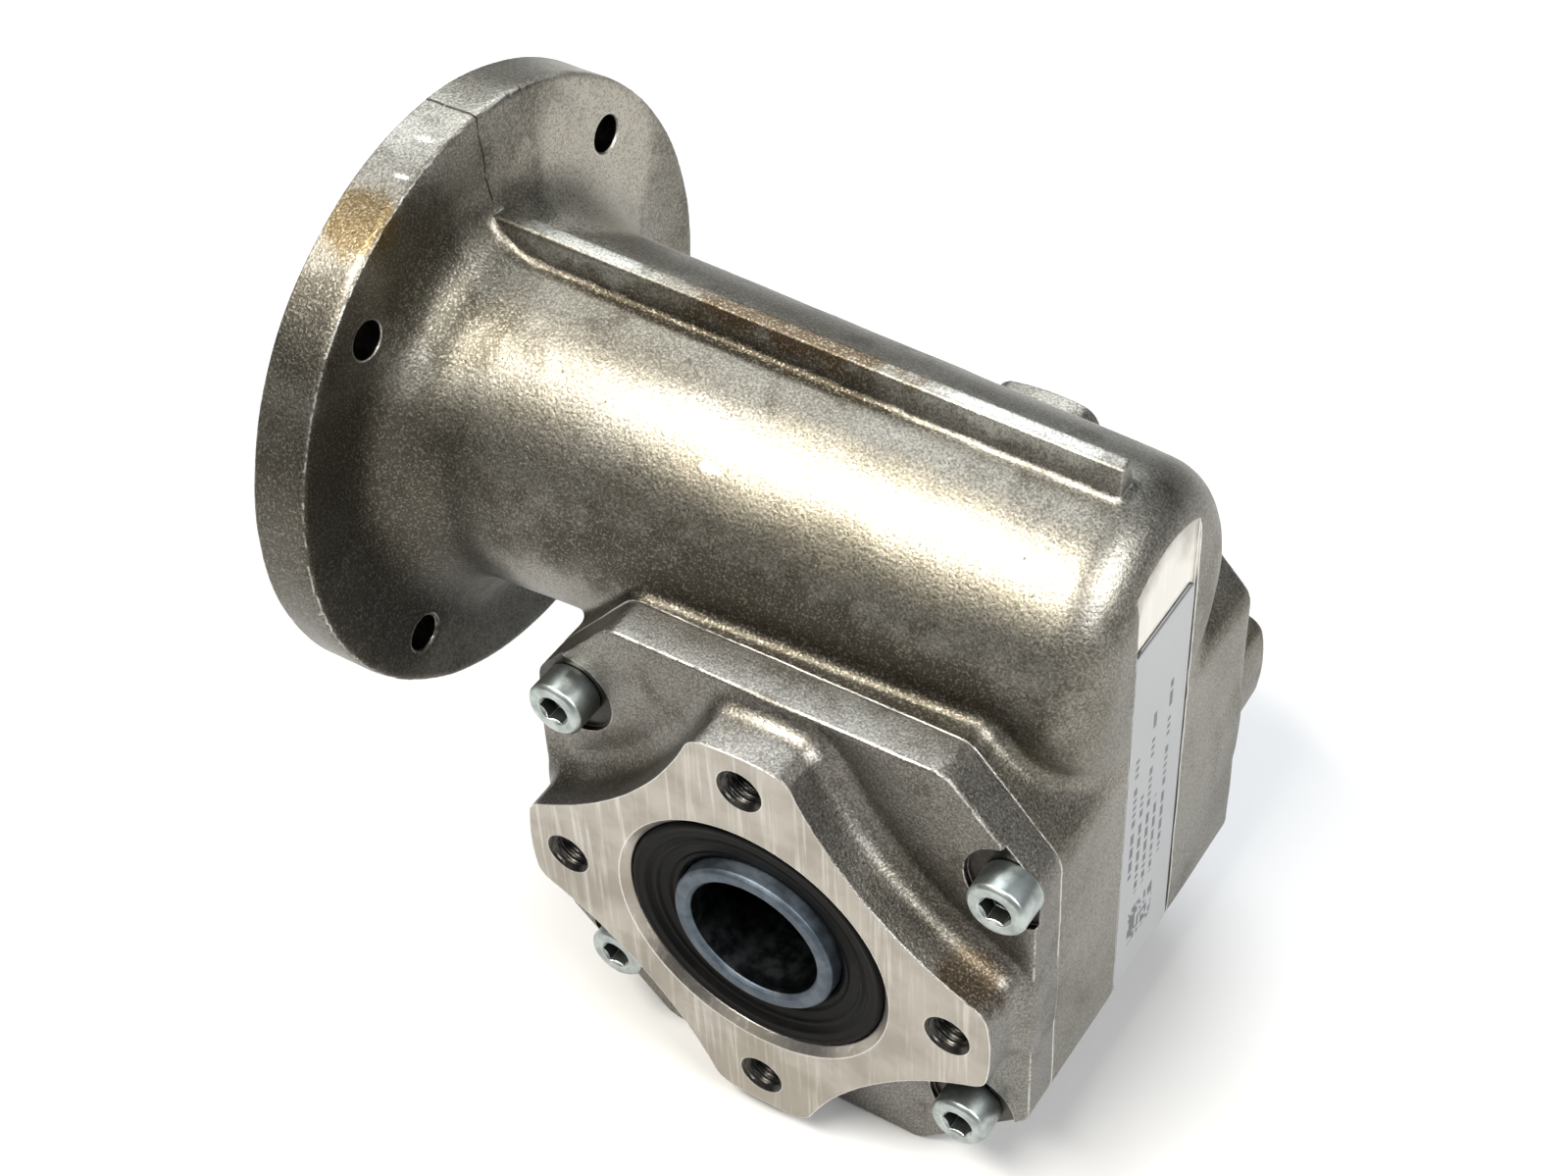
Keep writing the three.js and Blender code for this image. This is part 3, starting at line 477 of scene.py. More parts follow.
def mark_inside(piece, axis_place, radius, y0, y1):
    """Faces within a radius of an axis along Y, between y0 and y1, take the second material."""
    polygons = piece.data.polygons
    x, y, z = to_gear(vectors(polygons, "center")).T
    inside = (np.hypot(x - axis_place[0], z - axis_place[1]) < radius) & (y > y0) & (y < y1)
    polygons.foreach_set("material_index", inside.astype(np.int32))
    return piece


# ---- machining tools


def circle_places(radius, start):
    angles = [start + quarter * TAU / 4 for quarter in range(4)]
    return [(radius * math.cos(a), radius * math.sin(a)) for a in angles]


def thread_radius(minor, depth, pitch):
    """Radius of a helical thread as a function of angle and distance along."""
    def radius_at(angle, along):
        phase = (along / pitch + angle / TAU) % 1
        return minor + depth * np.clip(1.6 - np.abs(phase - 0.5) * 4, 0, 1)
    return radius_at


def tapped_places():
    """The tapped holes, out to the rim of their mouths, for mark_machined."""
    return [(1, place, 3.5) for place in circle_places(STAR_HOLE_CIRCLE_R, 0)]


def tapped_holes(side):
    """Cutters for four M6 holes with real threads and a countersunk mouth."""
    minor_r, thread_depth, pitch, depth = 2.5, 0.5, 1.0, 10
    tools = []
    outside = side * (FACE_Y + 1)
    sink_floor = side * (FACE_Y - 0.9)
    for x, z in circle_places(STAR_HOLE_CIRCLE_R, 0):
        thread = thread_radius(minor_r, thread_depth, pitch)
        tools.append(turned("thread", thread, outside, side * (FACE_Y - depth), 88, at=(x, 0, z)))
        sink = [(0, outside), (4.4, outside), (minor_r, sink_floor), (0, sink_floor)]
        tools.append(lathe("sink", sink, segments=64, at=(x, 0, z)))
    return tools


def output_bore(side, inner_y):
    """Seal recess, shoulder and bearing seat on one side, down to inner_y."""
    seal_floor = FACE_Y - SEAL_RECESS - SEAL_WIDTH - 0.3
    bearing_floor = OUTPUT_BEARING_Y[1] + 0.2
    seal_r, bearing_r = OUTPUT_SEAL_R + FIT_GAP, OUTPUT_BEARING_R + FIT_GAP
    profile = [
        (0, FACE_Y + 1), (seal_r + 2.2, FACE_Y + 1), (seal_r + 1.2, FACE_Y), (seal_r, FACE_Y - 1.2),
        (seal_r, seal_floor), (OUTPUT_SHOULDER_R, seal_floor), (OUTPUT_SHOULDER_R, bearing_floor),
        (bearing_r, bearing_floor), (bearing_r, inner_y), (0, inner_y),
    ]
    return lathe("bore", [(radius, side * y) for radius, y in profile], segments=192)


def worm_bore():
    """From the flange inwards: motor spigot, seal and bearing seat with its clip groove, tunnel, end seat."""
    seat, groove = WORM_BEARING_R + FIT_GAP, WORM_BEARING_R + 1.3
    end_seat = END_BEARING_R + FIT_GAP
    clip_x = MOTOR_BEARING_X[0] - 0.3
    clip_end_x = clip_x - 1.95
    seat_end_x = MOTOR_BEARING_X[1] + 0.3
    end_seat_x, end_wall_x = 21, 33.9
    outside_x = FLANGE_FACE_X - 2
    spigot_x = FLANGE_FACE_X + SPIGOT_DEPTH
    return lathe("worm_bore", [
        (0, outside_x), (SPIGOT_R, outside_x), (SPIGOT_R, spigot_x),
        (seat + 0.8, spigot_x), (seat, spigot_x + 0.8),
        (seat, clip_end_x), (groove, clip_end_x), (groove, clip_x), (seat, clip_x), (seat, seat_end_x),
        (TUNNEL_R, seat_end_x), (TUNNEL_R, end_seat_x), (end_seat, end_seat_x),
        (end_seat, end_wall_x), (0, end_wall_x),
    ], about_x, 160)


def flange_holes():
    tools = []
    for y, up in circle_places(FLANGE_HOLE_CIRCLE_R, TAU / 8):
        profile = [
            (0, FLANGE_FACE_X - 2), (FLANGE_HOLE_R, FLANGE_FACE_X - 2),
            (FLANGE_HOLE_R, FLANGE_BACK_X - 0.35), (FLANGE_HOLE_R + 0.8, FLANGE_BACK_X + 0.45),
            (0, FLANGE_BACK_X + 0.45),
        ]
        tools.append(lathe("hole", profile, about_x, 64, (0, y, up)))
    return tools


def screw_holes(radius, y0, y1):
    return [lathe("hole", sleeve(0, radius, y0, y1), segments=64, at=(x, 0, z)) for x, z in SCREW_PLACES]


# ---- castings


def make_housing():
    """The housing: cast skin with the rib joined on, then faced, bored, drilled and tapped."""
    margin = 1.6
    piece = cast_skin(
        "housing_casting", housing_field,
        (FLANGE_FACE_X - 2, -FLANGE_R - margin, -BODY_HALF_HEIGHT - margin),
        (END_FACE_X + margin, FLANGE_R + margin, CENTRE + FLANGE_R + margin),
        0.5,
    )
    combine(piece, [make_rib()], "UNION")
    far, beyond = CUT_REACH, 9
    past_star = STAR_R + 5
    past_body, clear_of_flange_x = 60, -45
    band_top = 66
    combine(piece, [
        block("flange_facing", (FLANGE_FACE_X - beyond, -far, -far), (FLANGE_FACE_X, far, far)),
        block("rear_facing", (-past_star, FACE_Y, -far), (far, FACE_Y + beyond, past_star)),
        block("parting", (clear_of_flange_x, PARTING_Y - beyond, -past_body),
              (past_body, PARTING_Y + PARTING_GAP / 2, past_body)),
        block("band", (END_FACE_X - BAND_DEPTH, -BAND_HALF_WIDTH, -far),
              (END_FACE_X + 3, BAND_HALF_WIDTH, band_top)),
        lathe("chamber", sleeve(0, CHAMBER_R, PARTING_Y - 3, CHAMBER_REAR_Y), segments=192),
        worm_bore(),
        output_bore(1, CHAMBER_REAR_Y - 1),
        *flange_holes(),
        *tapped_holes(1),
        *screw_holes(2.62, PARTING_Y - 2, -14.0),
    ])
    # The flange holes and tapped holes take the painted shade inside them
    flange = [(0, (y, CENTRE + up), FLANGE_HOLE_R + 0.05)
              for y, up in circle_places(FLANGE_HOLE_CIRCLE_R, TAU / 8)]
    return smooth(mark_machined(piece, housing_field, flange + tapped_places()))


def make_cover():
    """The cover: cast plate and star with the turned spigot joined on, then faced, bored and drilled."""
    half = BODY_HALF_HEIGHT + 1.6
    piece = cast_skin(
        "cover_casting", cover_field, (-half, -FACE_Y - 2.5, -half), (half, PARTING_Y + 2.5, half),
        0.34,
    )
    far = CUT_REACH
    spigot_r = CHAMBER_R - 0.3
    groove_r = spigot_r - 1.9
    groove_y = (O_RING_Y - 1.3, O_RING_Y + 1.3)
    chamfer = 0.6
    inner_y = -18.0
    combine(piece, [block("parting", (-far, PARTING_Y - PARTING_GAP / 2, -far), (far, 0, far))])
    combine(piece, [lathe("spigot", [
        (0, PARTING_Y - 1), (spigot_r, PARTING_Y - 1), (spigot_r, groove_y[0]), (groove_r, groove_y[0]),
        (groove_r, groove_y[1]), (spigot_r, groove_y[1]), (spigot_r, inner_y - chamfer),
        (spigot_r - chamfer, inner_y), (0, inner_y),
    ], segments=192)], "UNION")
    combine(piece, [
        block("facing", (-far, -FACE_Y - 9, -far), (far, -FACE_Y, far)),
        output_bore(-1, 17.0),
        *tapped_holes(-1),
        *screw_holes(2.8, COVER_FACE_Y - 3, inner_y + 3),
        *screw_holes(SPOT_FACE_R, COVER_FACE_Y - 3, SPOT_FACE_Y),
    ])
    # The spot faces and tapped holes take the painted shade inside them
    spots = [(1, place, SPOT_FACE_R + 0.1) for place in SCREW_PLACES]
    return smooth(mark_machined(piece, cover_field, spots + tapped_places()))


# ---- fasteners and turned parts


def make_screw(name, x, z):
    """Socket head cap screw: rolled thread, chamfered head and a hexagonal socket."""
    head_r, head_height, chamfer, length = 4.25, 5, 0.5, 16
    base = SPOT_FACE_Y - 0.05
    top = base - head_height
    head = lathe(name, rounded([
        (0, top), (head_r - chamfer, top), (head_r, top + chamfer), (head_r, base), (0, base),
    ], 0.18), segments=96, at=(x, 0, z))
    thread = thread_radius(2.1, 0.4, 0.8)
    shank = turned("shank", thread, base - 0.5, base + length, 132, segments=48, at=(x, 0, z))
    combine(head, [shank], "UNION")
    key_width = 4
    hex_r = key_width / 2 / math.cos(TAU / 12)
    socket = [(0, top - 1), (hex_r, top - 1), (hex_r, top + 2.6), (0, top + 3.4)]
    mouth = [(0, top - 1), (hex_r + 1.12, top - 1), (hex_r - 0.28, top + 0.4), (0, top + 0.4)]
    combine(head, [
        lathe("socket", socket, segments=6, at=(x, 0, z)),
        lathe("mouth", mouth, segments=48, at=(x, 0, z)),
    ])
    # The socket's inside takes the second material, its painted shade
    return smooth(mark_inside(head, (x, z), hex_r, top + 0.3, base), 28)


def make_seal(name, inner, outer, face, inwards, about):
    """Radial shaft seal: stepped face with two fine beads, a dust lip and an open back."""
    lip, width = inner + 0.12, SEAL_WIDTH
    steps = [
        (outer - 0.05, 0.45), (outer - 0.45, 0.05), (outer - 0.9, 0), (outer - 1.3, 0.12),
        (outer - 2.3, 0.12), (outer - 2.6, 0.45), (outer - 3.0, 0.75), (outer - 3.5, 0.6),
        (outer - 3.9, 0.6), (outer - 4.2, 0.95), (lip + 1.7, 1.0), (lip + 1.3, 1.35),
        (lip + 0.7, 1.3), (lip + 0.15, 1.7), (lip, 2.2), (lip + 0.4, width * 0.72),
        (lip + 1.3, width * 0.8), (lip + 1.6, width * 0.55), (lip + 1.6, 2.6),
        (outer - 1.6, 2.6), (outer - 1.6, width), (outer - 0.4, width), (outer - 0.05, width - 0.4),
    ]
    profile = [(radius, face + inwards * depth) for radius, depth in steps]
    return smooth(lathe(name, rounded(profile, 0.16), about, 192), 50)


def make_output_shaft():
    """Hollow shaft with a shoulder between its bearings and a seat for the wheel's key."""
    seat, shoulder, bore, flat = SEAT_R, 15.0, 10.0, 18.4
    end = FACE_Y
    piece = lathe("output_hollow_shaft", rounded([
        (bore + 0.6, -end), (seat - 0.5, -end), (seat, -end + 0.5), (seat, -flat), (shoulder, -flat),
        (shoulder, flat), (seat, flat), (seat, end - 0.5), (seat - 0.5, end), (bore + 0.6, end),
        (bore, end - 0.6), (bore, -end + 0.6),
    ], 0.15), segments=192)
    combine(piece, [block("key_seat", (-4.15, -10.15, 12.35), (4.15, 10.15, 18))])
    # The bore's inside takes the second material, its painted shade
    return smooth(mark_inside(piece, (0, 0), bore + 0.1, -end + 0.7, end - 0.7))


def make_key():
    """Parallel key between the shaft and the hub."""
    return smooth(soften(block("wheel_key_steel", (-4, -10, 12.5), (4, 10, 17.5)), 0.35, 3))


def make_hub():
    """Cast iron hub that carries the bronze rim."""
    bore, web, rim = 15.12, 18.6, 21.0
    half, wide = 13.0, 8.0
    piece = lathe("wheel_hub_iron", rounded([
        (bore, -half), (web, -half), (web, -wide), (rim, -wide),
        (rim, wide), (web, wide), (web, half), (bore, half),
    ], 0.35), segments=128)
    combine(piece, [block("keyway", (-4.15, -half - 1, 10), (4.15, half + 1, 17.7))])
    return smooth(piece)


def make_wheel_rim():
    """Bronze rim whose teeth follow the worm's thread, with a throat round the worm."""
    pitch_r, half, outer_r = TEETH * MODULE / 2, 8.0, 31.2
    throat_r = WORM_PITCH_R - MODULE
    twist = MODULE / WORM_PITCH_R / pitch_r
    root = pitch_r - 1.3 * MODULE
    half_space, flank = 0.22, 0.21

    def radius_at(angle, y):
        tip = min(outer_r, CENTRE - math.sqrt(throat_r**2 - y * y))
        phase = ((angle + twist * y - TAU / 4) * TEETH / TAU + 0.5) % 1 - 0.5
        tooth = np.clip((np.abs(phase) - half_space) / flank, 0, 1)
        return root + (tip - root) * tooth

    piece = turned("worm_wheel_bronze", radius_at, -half, half, 32, segments=TEETH * 24)
    combine(piece, [lathe("bore", sleeve(0, 21.1, -half - 1, half + 1), segments=128)])
    return smooth(piece, 40)


def make_worm():
    """Worm shaft with a two start thread, bearing seats and a keyed socket for the motor."""
    low, high = extent("worm_shaft")
    start, end = low.x, high.x
    lead, root, tip = STARTS * math.pi * MODULE, 10.1, 14.5
    motor_seat_end, collar_end, end_seat_start = MOTOR_BEARING_X[1] + 0.1, -38.9, END_BEARING_X[0] - 0.1
    collar_r, thread_end, run_out = 11.5, 20.5, 3
    half_tooth, flank = 0.389, 0.255

    def radius_at(angle, x):
        if x < motor_seat_end:
            return MOTOR_SEAT_R - 0.5 * max(0, 1 - (x - start) * 2)
        if x < collar_end:
            return collar_r
        if x > end_seat_start:
            return END_SEAT_R - 0.5 * max(0, 1 - (end - x) * 2)
        fade = min(1, max(0, (thread_end - abs(x)) / run_out))
        phase = (STARTS * (x / lead - (angle + TAU / 4) / TAU) + 0.5) % 1 - 0.5
        tooth = np.clip((half_tooth - np.abs(phase)) / flank, 0, 1)
        return root + (tip - root) * fade * tooth

    piece = turned("worm_shaft_steel", radius_at, start, end, 500, about_x, 144)
    socket = [(0, start - 1), (6.3, start - 1), (5.5, start + 0.8), (5.5, start + 25), (0, start + 27)]
    combine(piece, [
        lathe("socket", socket, about_x, 96),
        block("keyway", (start - 1, -2, CENTRE), (start + 24, 2, CENTRE + 7.3)),
    ])
    return smooth(piece)


def make_bearing(name, inner, outer, start, end, about):
    """Deep groove ball bearing: two ground rings and a pressed cage with its balls."""
    middle = (inner + outer) / 2
    ball = (outer - inner) * 0.29
    centre = start + (end - start) / 2
    groove_r = ball + 0.2
    turns = np.linspace(-0.98, 0.98, 13)
    arc = [groove_r * math.sin(t) for t in turns]
    rise = [groove_r * math.cos(t) for t in turns]
    shoulder = rise[0]
    races = []
    for race, side, edge in (("outer", 1, outer), ("inner", -1, inner + 0.05)):
        profile = [(edge, start), (edge, end), (middle + side * shoulder, end)]
        profile += [(middle + side * r, centre - a) for r, a in zip(rise, arc)]
        profile += [(middle + side * shoulder, start)]
        races.append(smooth(lathe(f"{name}_{race}_race", rounded(profile, 0.25), about, 128)))
    count = math.floor(TAU * middle / (ball * 4.4))
    reach, half = ball * 0.3, ball * 0.8
    section = sleeve(middle - reach, middle + reach, centre - half, centre + half)
    cage = lathe(name + "_balls", rounded(section, 0.3), about, 96)
    turns = np.linspace(0, math.pi, 17)
    profile = [(ball * math.sin(t), -ball * math.cos(t)) for t in turns]
    balls = []
    for i in range(count):
        seat = about(np.array([middle]), np.array([i * TAU / count]), centre)[0]
        if about is about_x:
            seat[2] -= CENTRE
        balls.append(lathe("ball", profile, about, 32, tuple(seat)))
    combine(cage, balls, "UNION")
    return *races, smooth(cage)


def make_circlip():
    """Internal retaining ring with an open gap and two drilled lugs."""
    low, high = extent("bearing_circlip")
    outer, depth, edge = 22.1, 3.2, 0.12
    lug_r, hole_r, lug_at, half_gap = 2.3, 0.9, 18.7, 2.4
    x0, x1 = low.x, high.x
    section = rounded(sleeve(outer - depth, outer, x0, x1), edge)
    ring = lathe("bearing_retaining_ring", section, about_x, 160)
    for side in (-1, 1):
        lug_angle = -TAU / 4 + side * 0.2
        place = (0, lug_at * math.cos(lug_angle), lug_at * math.sin(lug_angle))
        combine(ring, [lathe("lug", rounded(sleeve(0, lug_r, x0, x1), edge), about_x, 48, place)], "UNION")
        combine(ring, [lathe("hole", sleeve(0, hole_r, x0 - 1, x1 + 1), about_x, 32, place)])
    combine(ring, [block("gap", (x0 - 1, -half_gap, CENTRE - outer - 1), (x1 + 1, half_gap, CENTRE - 14))])
    return smooth(ring)


def make_shim():
    """Flat ring behind the end bearing."""
    low, high = extent("end_bearing_shim")
    outer = 17.2
    profile = rounded(sleeve(outer - 3, outer, low.x, high.x), 0.12)
    return smooth(lathe("end_play_shim", profile, about_x, 128))


def make_o_ring():
    """Rubber ring in the groove of the cover's spigot."""
    section, ring = 0.85, CHAMBER_R - 0.25 - 0.85
    turns = np.arange(20) * TAU / 20
    profile = [(ring + section * math.cos(t), O_RING_Y + section * math.sin(t)) for t in turns]
    return smooth(lathe("cover_seal_ring", profile, segments=160), 80)


def make_label():
    """The film on the closed end, with rounded corners and a softened edge."""
    low, high = extent("rating_label")
    radius, edge = 1.2, 0.06
    outline = []
    for cy, cz, first in (
        (high.y - radius, high.z - radius, 0), (low.y + radius, high.z - radius, 1),
        (low.y + radius, low.z + radius, 2), (high.y - radius, low.z + radius, 3),
    ):
        for t in np.linspace(first, first + 1, 9) * TAU / 4:
            outline.append((cy + radius * math.cos(t), cz + radius * math.sin(t)))
    outline = np.array(outline)
    middle = outline.mean(0)
    layers = []
    for x, inset in ((low.x, 0), (high.x - edge, 0), (high.x, edge)):
        pulled = outline + (middle - outline) / np.abs(middle - outline).max(0) * inset
        layers.append(np.column_stack([np.full(len(pulled), x), pulled]))
    count = len(outline)
    faces = [tuple(range(count))[::-1], tuple(range(2 * count, 3 * count))]
    for row in (0, count):
        faces += [(row + i, row + (i + 1) % count, row + count + (i + 1) % count, row + count + i)
                  for i in range(count)]
    return smooth(make_object("rating_label_film", np.concatenate(layers), faces))


# ---- materials


class Nodes:
    """A material whose nodes read the piece's own coordinates in metres."""

    def __init__(self, name, metallic, colour=(0.5, 0.5, 0.5)):
        self.material = bpy.data.materials.new(name)
        self.material.use_nodes = True
        self.tree = self.material.node_tree
        self.shader = self.tree.nodes["Principled BSDF"]
        self.shader.inputs["Metallic"].default_value = metallic
        self.shader.inputs["Base Color"].default_value = (*colour, 1)
        self.place = self.add("TexCoord").outputs["Object"]

    def add(self, kind, inputs=(), **settings):
        node = self.tree.nodes.new("ShaderNode" + kind)
        for key, value in settings.items():
            setattr(node, key, value)
        for key, value in dict(inputs).items():
            self.feed(node.inputs[key], value)
        return node

    def feed(self, socket, value):
        if isinstance(value, bpy.types.NodeSocket):
            self.tree.links.new(value, socket)
        elif socket.type == "RGBA":
            socket.default_value = (*value, 1)
        else:
            socket.default_value = value

    def math(self, operation, a, b=0.0, c=0.0):
        return self.add("Math", {0: a, 1: b, 2: c}, operation=operation).outputs[0]

    def scaled(self, value, factor, base):
        return self.math("MULTIPLY_ADD", value, factor, base)

    def noise(self, size_mm, detail=2.0, roughness=0.5, stretch=None):
        """Noise from 0 to 1 with features about size_mm across."""
        place = self.place
        if stretch is not None:
            place = self.add("Mapping", {"Vector": place, "Scale": stretch}).outputs[0]
        return self.add("TexNoise", {
            "Vector": place, "Scale": 0.6 / (size_mm * MM), "Detail": detail, "Roughness": roughness,
        }).outputs["Fac"]

    def cells(self, size_mm):
        """A random value for each cell of about size_mm."""
        node = self.add("TexVoronoi", {"Vector": self.place, "Scale": 1 / (size_mm * MM)})
        return self.add("SeparateColor", {"Color": node.outputs["Color"]}).outputs[0]

    def band(self, value, low, high):
        """Smooth step of a value between two limits."""
        inputs = {"Value": value, "From Min": low, "From Max": high}
        return self.add("MapRange", inputs, interpolation_type="SMOOTHSTEP").outputs["Result"]

    def blend(self, factor, a, b):
        return self.add("Mix", {0: factor, 6: a, 7: b}, data_type="RGBA").outputs[2]

    def glaze(self, colour, mask, amount, tint):
        """The colour with that much of a tint over it where the mask is 1."""
        return self.blend(self.math("MULTIPLY", mask, amount), colour, tint)

    def spot(self, centre, radius, ragged=0.5, size_mm=3.0, squash=(1, 1, 1)):
        """1 inside a ragged blob round a point given in millimetres about the gear origin."""
        at = to_row(centre)
        offset = self.add("VectorMath", {0: self.place, 1: tuple(at)}, operation="SUBTRACT")
        scaled = self.add("VectorMath", {0: offset.outputs[0], 1: squash}, operation="MULTIPLY")
        away = self.add("VectorMath", {0: scaled.outputs[0]}, operation="LENGTH").outputs["Value"]
        edge = self.scaled(self.noise(size_mm, 4, 0.6), radius * MM * ragged * 2, away)
        limit = radius * MM * (1 + ragged)
        return self.band(edge, limit, limit - radius * MM * 0.5)

    def patched(self, colour, patches):
        """The colour with each patch of another tint over it. HOUSING_PATCHES says what a patch holds."""
        for centre, radius, ragged, squash, tint, amount in patches:
            mask = self.spot(centre, radius, ragged, radius * 0.35, squash)
            colour = self.glaze(colour, mask, amount, tint)
        return colour

    def seam_line(self, y_mm, highest_x, lowest_z):
        """1 along a thin uneven line where the plane y cuts the skin, up to x and down to z."""
        corner = to_row((highest_x, y_mm, lowest_z))
        axes = self.add("SeparateXYZ", {"Vector": self.place}).outputs
        wander = self.scaled(self.noise(4, 4, 0.6), 1.2 * MM, float(corner[1]) - 0.6 * MM)
        away = self.math("ABSOLUTE", self.math("SUBTRACT", axes["Y"], wander))
        line = self.band(away, 0.24 * MM, 0.1 * MM)
        broken = self.band(self.noise(2, 3, 0.6), 0.36, 0.48)
        here = self.math("MULTIPLY", self.math("LESS_THAN", axes["X"], float(corner[0])),
                         self.math("GREATER_THAN", axes["Z"], float(corner[2])))
        return self.math("MULTIPLY", self.math("MULTIPLY", line, broken), here)

    def bump(self, height, strength, depth_mm, normal=None):
        inputs = {"Height": height, "Strength": strength, "Distance": depth_mm * MM}
        if normal is not None:
            inputs["Normal"] = normal
        return self.add("Bump", inputs).outputs["Normal"]

    def edges(self, radius_mm):
        """A rounded normal, and 1 along the sharp edges that it rounds."""
        normal = self.add("Bevel", {"Radius": radius_mm * MM}, samples=4).outputs[0]
        plain = self.add("NewGeometry").outputs["Normal"]
        agree = self.add("VectorMath", {0: normal, 1: plain}, operation="DOT_PRODUCT")
        return normal, self.band(agree.outputs["Value"], 0.995, 0.93)

    def finish(self, colour=None, roughness=None, normal=None):
        for key, value in (("Base Color", colour), ("Roughness", roughness), ("Normal", normal)):
            if value is not None:
                self.feed(self.shader.inputs[key], value)
        return self.material


def cast_metal(name, warm, pale, dark, patches, seam=None):
    """Die cast aluminium: sparkling grain, slow tone changes, pits, marks, tinted patches and bright edges,
    partly bare metal from wear and partly a painted highlight.

    The patches are listed where the gearbox is put together. The seam is the plane y of the mould's joint
    line, the highest x and the lowest z that it reaches, in mm.
    """
    n = Nodes(name, 1.0)
    normal, edge = n.edges(0.4)
    slow = n.noise(24, 4, 0.6)
    patch = n.noise(5, 5, 0.65)
    grain = n.noise(0.26, 2, 0.6)
    flakes = n.cells(0.26)
    speckle = n.noise(0.2, 1, 0.5)
    colour = n.blend(n.band(slow, 0.38, 0.62), warm, pale)
    colour = n.glaze(colour, n.band(patch, 0.5, 0.7), 0.6, dark)
    colour = n.glaze(colour, n.band(grain, 0.45, 0.25), 0.35, dark)
    colour = n.patched(colour, patches)
    colour = n.glaze(colour, n.band(speckle, 0.52, 0.34), 0.42, (0.03, 0.027, 0.02))
    colour = n.glaze(colour, n.band(speckle, 0.52, 0.7), 0.2, (0.55, 0.52, 0.44))
    # Bright edges: partly wear, partly a painted highlight along the sharp edges
    wear_and_highlight = n.math("MULTIPLY", edge, n.band(n.noise(1.6, 4, 0.7), 0.32, 0.6))
    colour = n.glaze(colour, wear_and_highlight, 0.7, (0.88, 0.87, 0.82))
    rough = n.scaled(grain, 0.24, 0.21)
    rough = n.scaled(patch, 0.14, rough)
    pits = n.band(n.noise(1.1, 4, 0.75), 0.33, 0.28)
    colour = n.glaze(colour, pits, 0.6, dark)
    normal = n.bump(patch, 0.35, 0.12, normal)
    normal = n.bump(grain, 0.8, 0.07, normal)
    normal = n.bump(flakes, 0.5, 0.035, normal)
    normal = n.bump(pits, 0.6, -0.08, normal)
    if seam is not None:
        line = n.seam_line(*seam)
        colour = n.glaze(colour, line, 0.85, (0.02, 0.018, 0.015))
        normal = n.bump(line, 0.8, 0.2, normal)
    return n.finish(colour, rough, normal)


def machined_metal(name, tone, dull, stretch, shine, patches=()):
    """Milled aluminium: fine tool marks, a faint oxide haze and bright edges, partly deburred metal and
    partly a painted highlight as bright as shine. Made dark, it is also the painted shade inside holes.
    """
    n = Nodes(name, 1.0)
    normal, edge = n.edges(0.3)
    marks = n.noise(0.5, 3, 0.6, stretch)
    haze = n.noise(6, 4, 0.6)
    colour = n.blend(n.band(haze, 0.35, 0.7), tone, dull)
    colour = n.patched(colour, patches)
    colour = n.glaze(colour, n.band(marks, 0.5, 0.75), shine * 0.3, (0.9, 0.88, 0.85))
    # Bright edges: partly deburred metal, partly a painted highlight
    colour = n.glaze(colour, edge, shine, (0.95, 0.94, 0.92))
    rough = n.scaled(haze, 0.16, 0.24)
    normal = n.bump(marks, 0.25, 0.02, normal)
    return n.finish(colour, rough, normal)


def plated_steel(name, tone, dull, base_rough, grain_mm=0.5):
    """Plated, ground or forged steel with fine mottling and bright edges, partly wear and partly a painted
    highlight.
    """
    n = Nodes(name, 1.0)
    normal, edge = n.edges(0.2)
    mottle = n.noise(1.4, 4, 0.6)
    grain = n.noise(grain_mm, 3, 0.6)
    colour = n.blend(n.band(mottle, 0.35, 0.7), tone, dull)
    # Bright edges: partly wear, partly a painted highlight
    colour = n.glaze(colour, edge, 0.6, (0.9, 0.92, 0.92))
    rough = n.scaled(mottle, 0.2, base_rough)
    normal = n.bump(grain, 0.3, 0.02, normal)
    return n.finish(colour, rough, normal)


def rubber_material():
    """Near black rubber with a little dust."""
    n = Nodes("seal_rubber", 0.0)
    dust = n.noise(2.5, 5, 0.65)
    grain = n.noise(0.25, 2, 0.6)
    colour = n.blend(n.band(dust, 0.5, 0.8), (0.002, 0.002, 0.002), (0.007, 0.006, 0.005))
    rough = n.scaled(dust, 0.25, 0.3)
    n.shader.inputs["Specular IOR Level"].default_value = 0.05
    return n.finish(colour, rough, n.bump(grain, 0.3, 0.02))


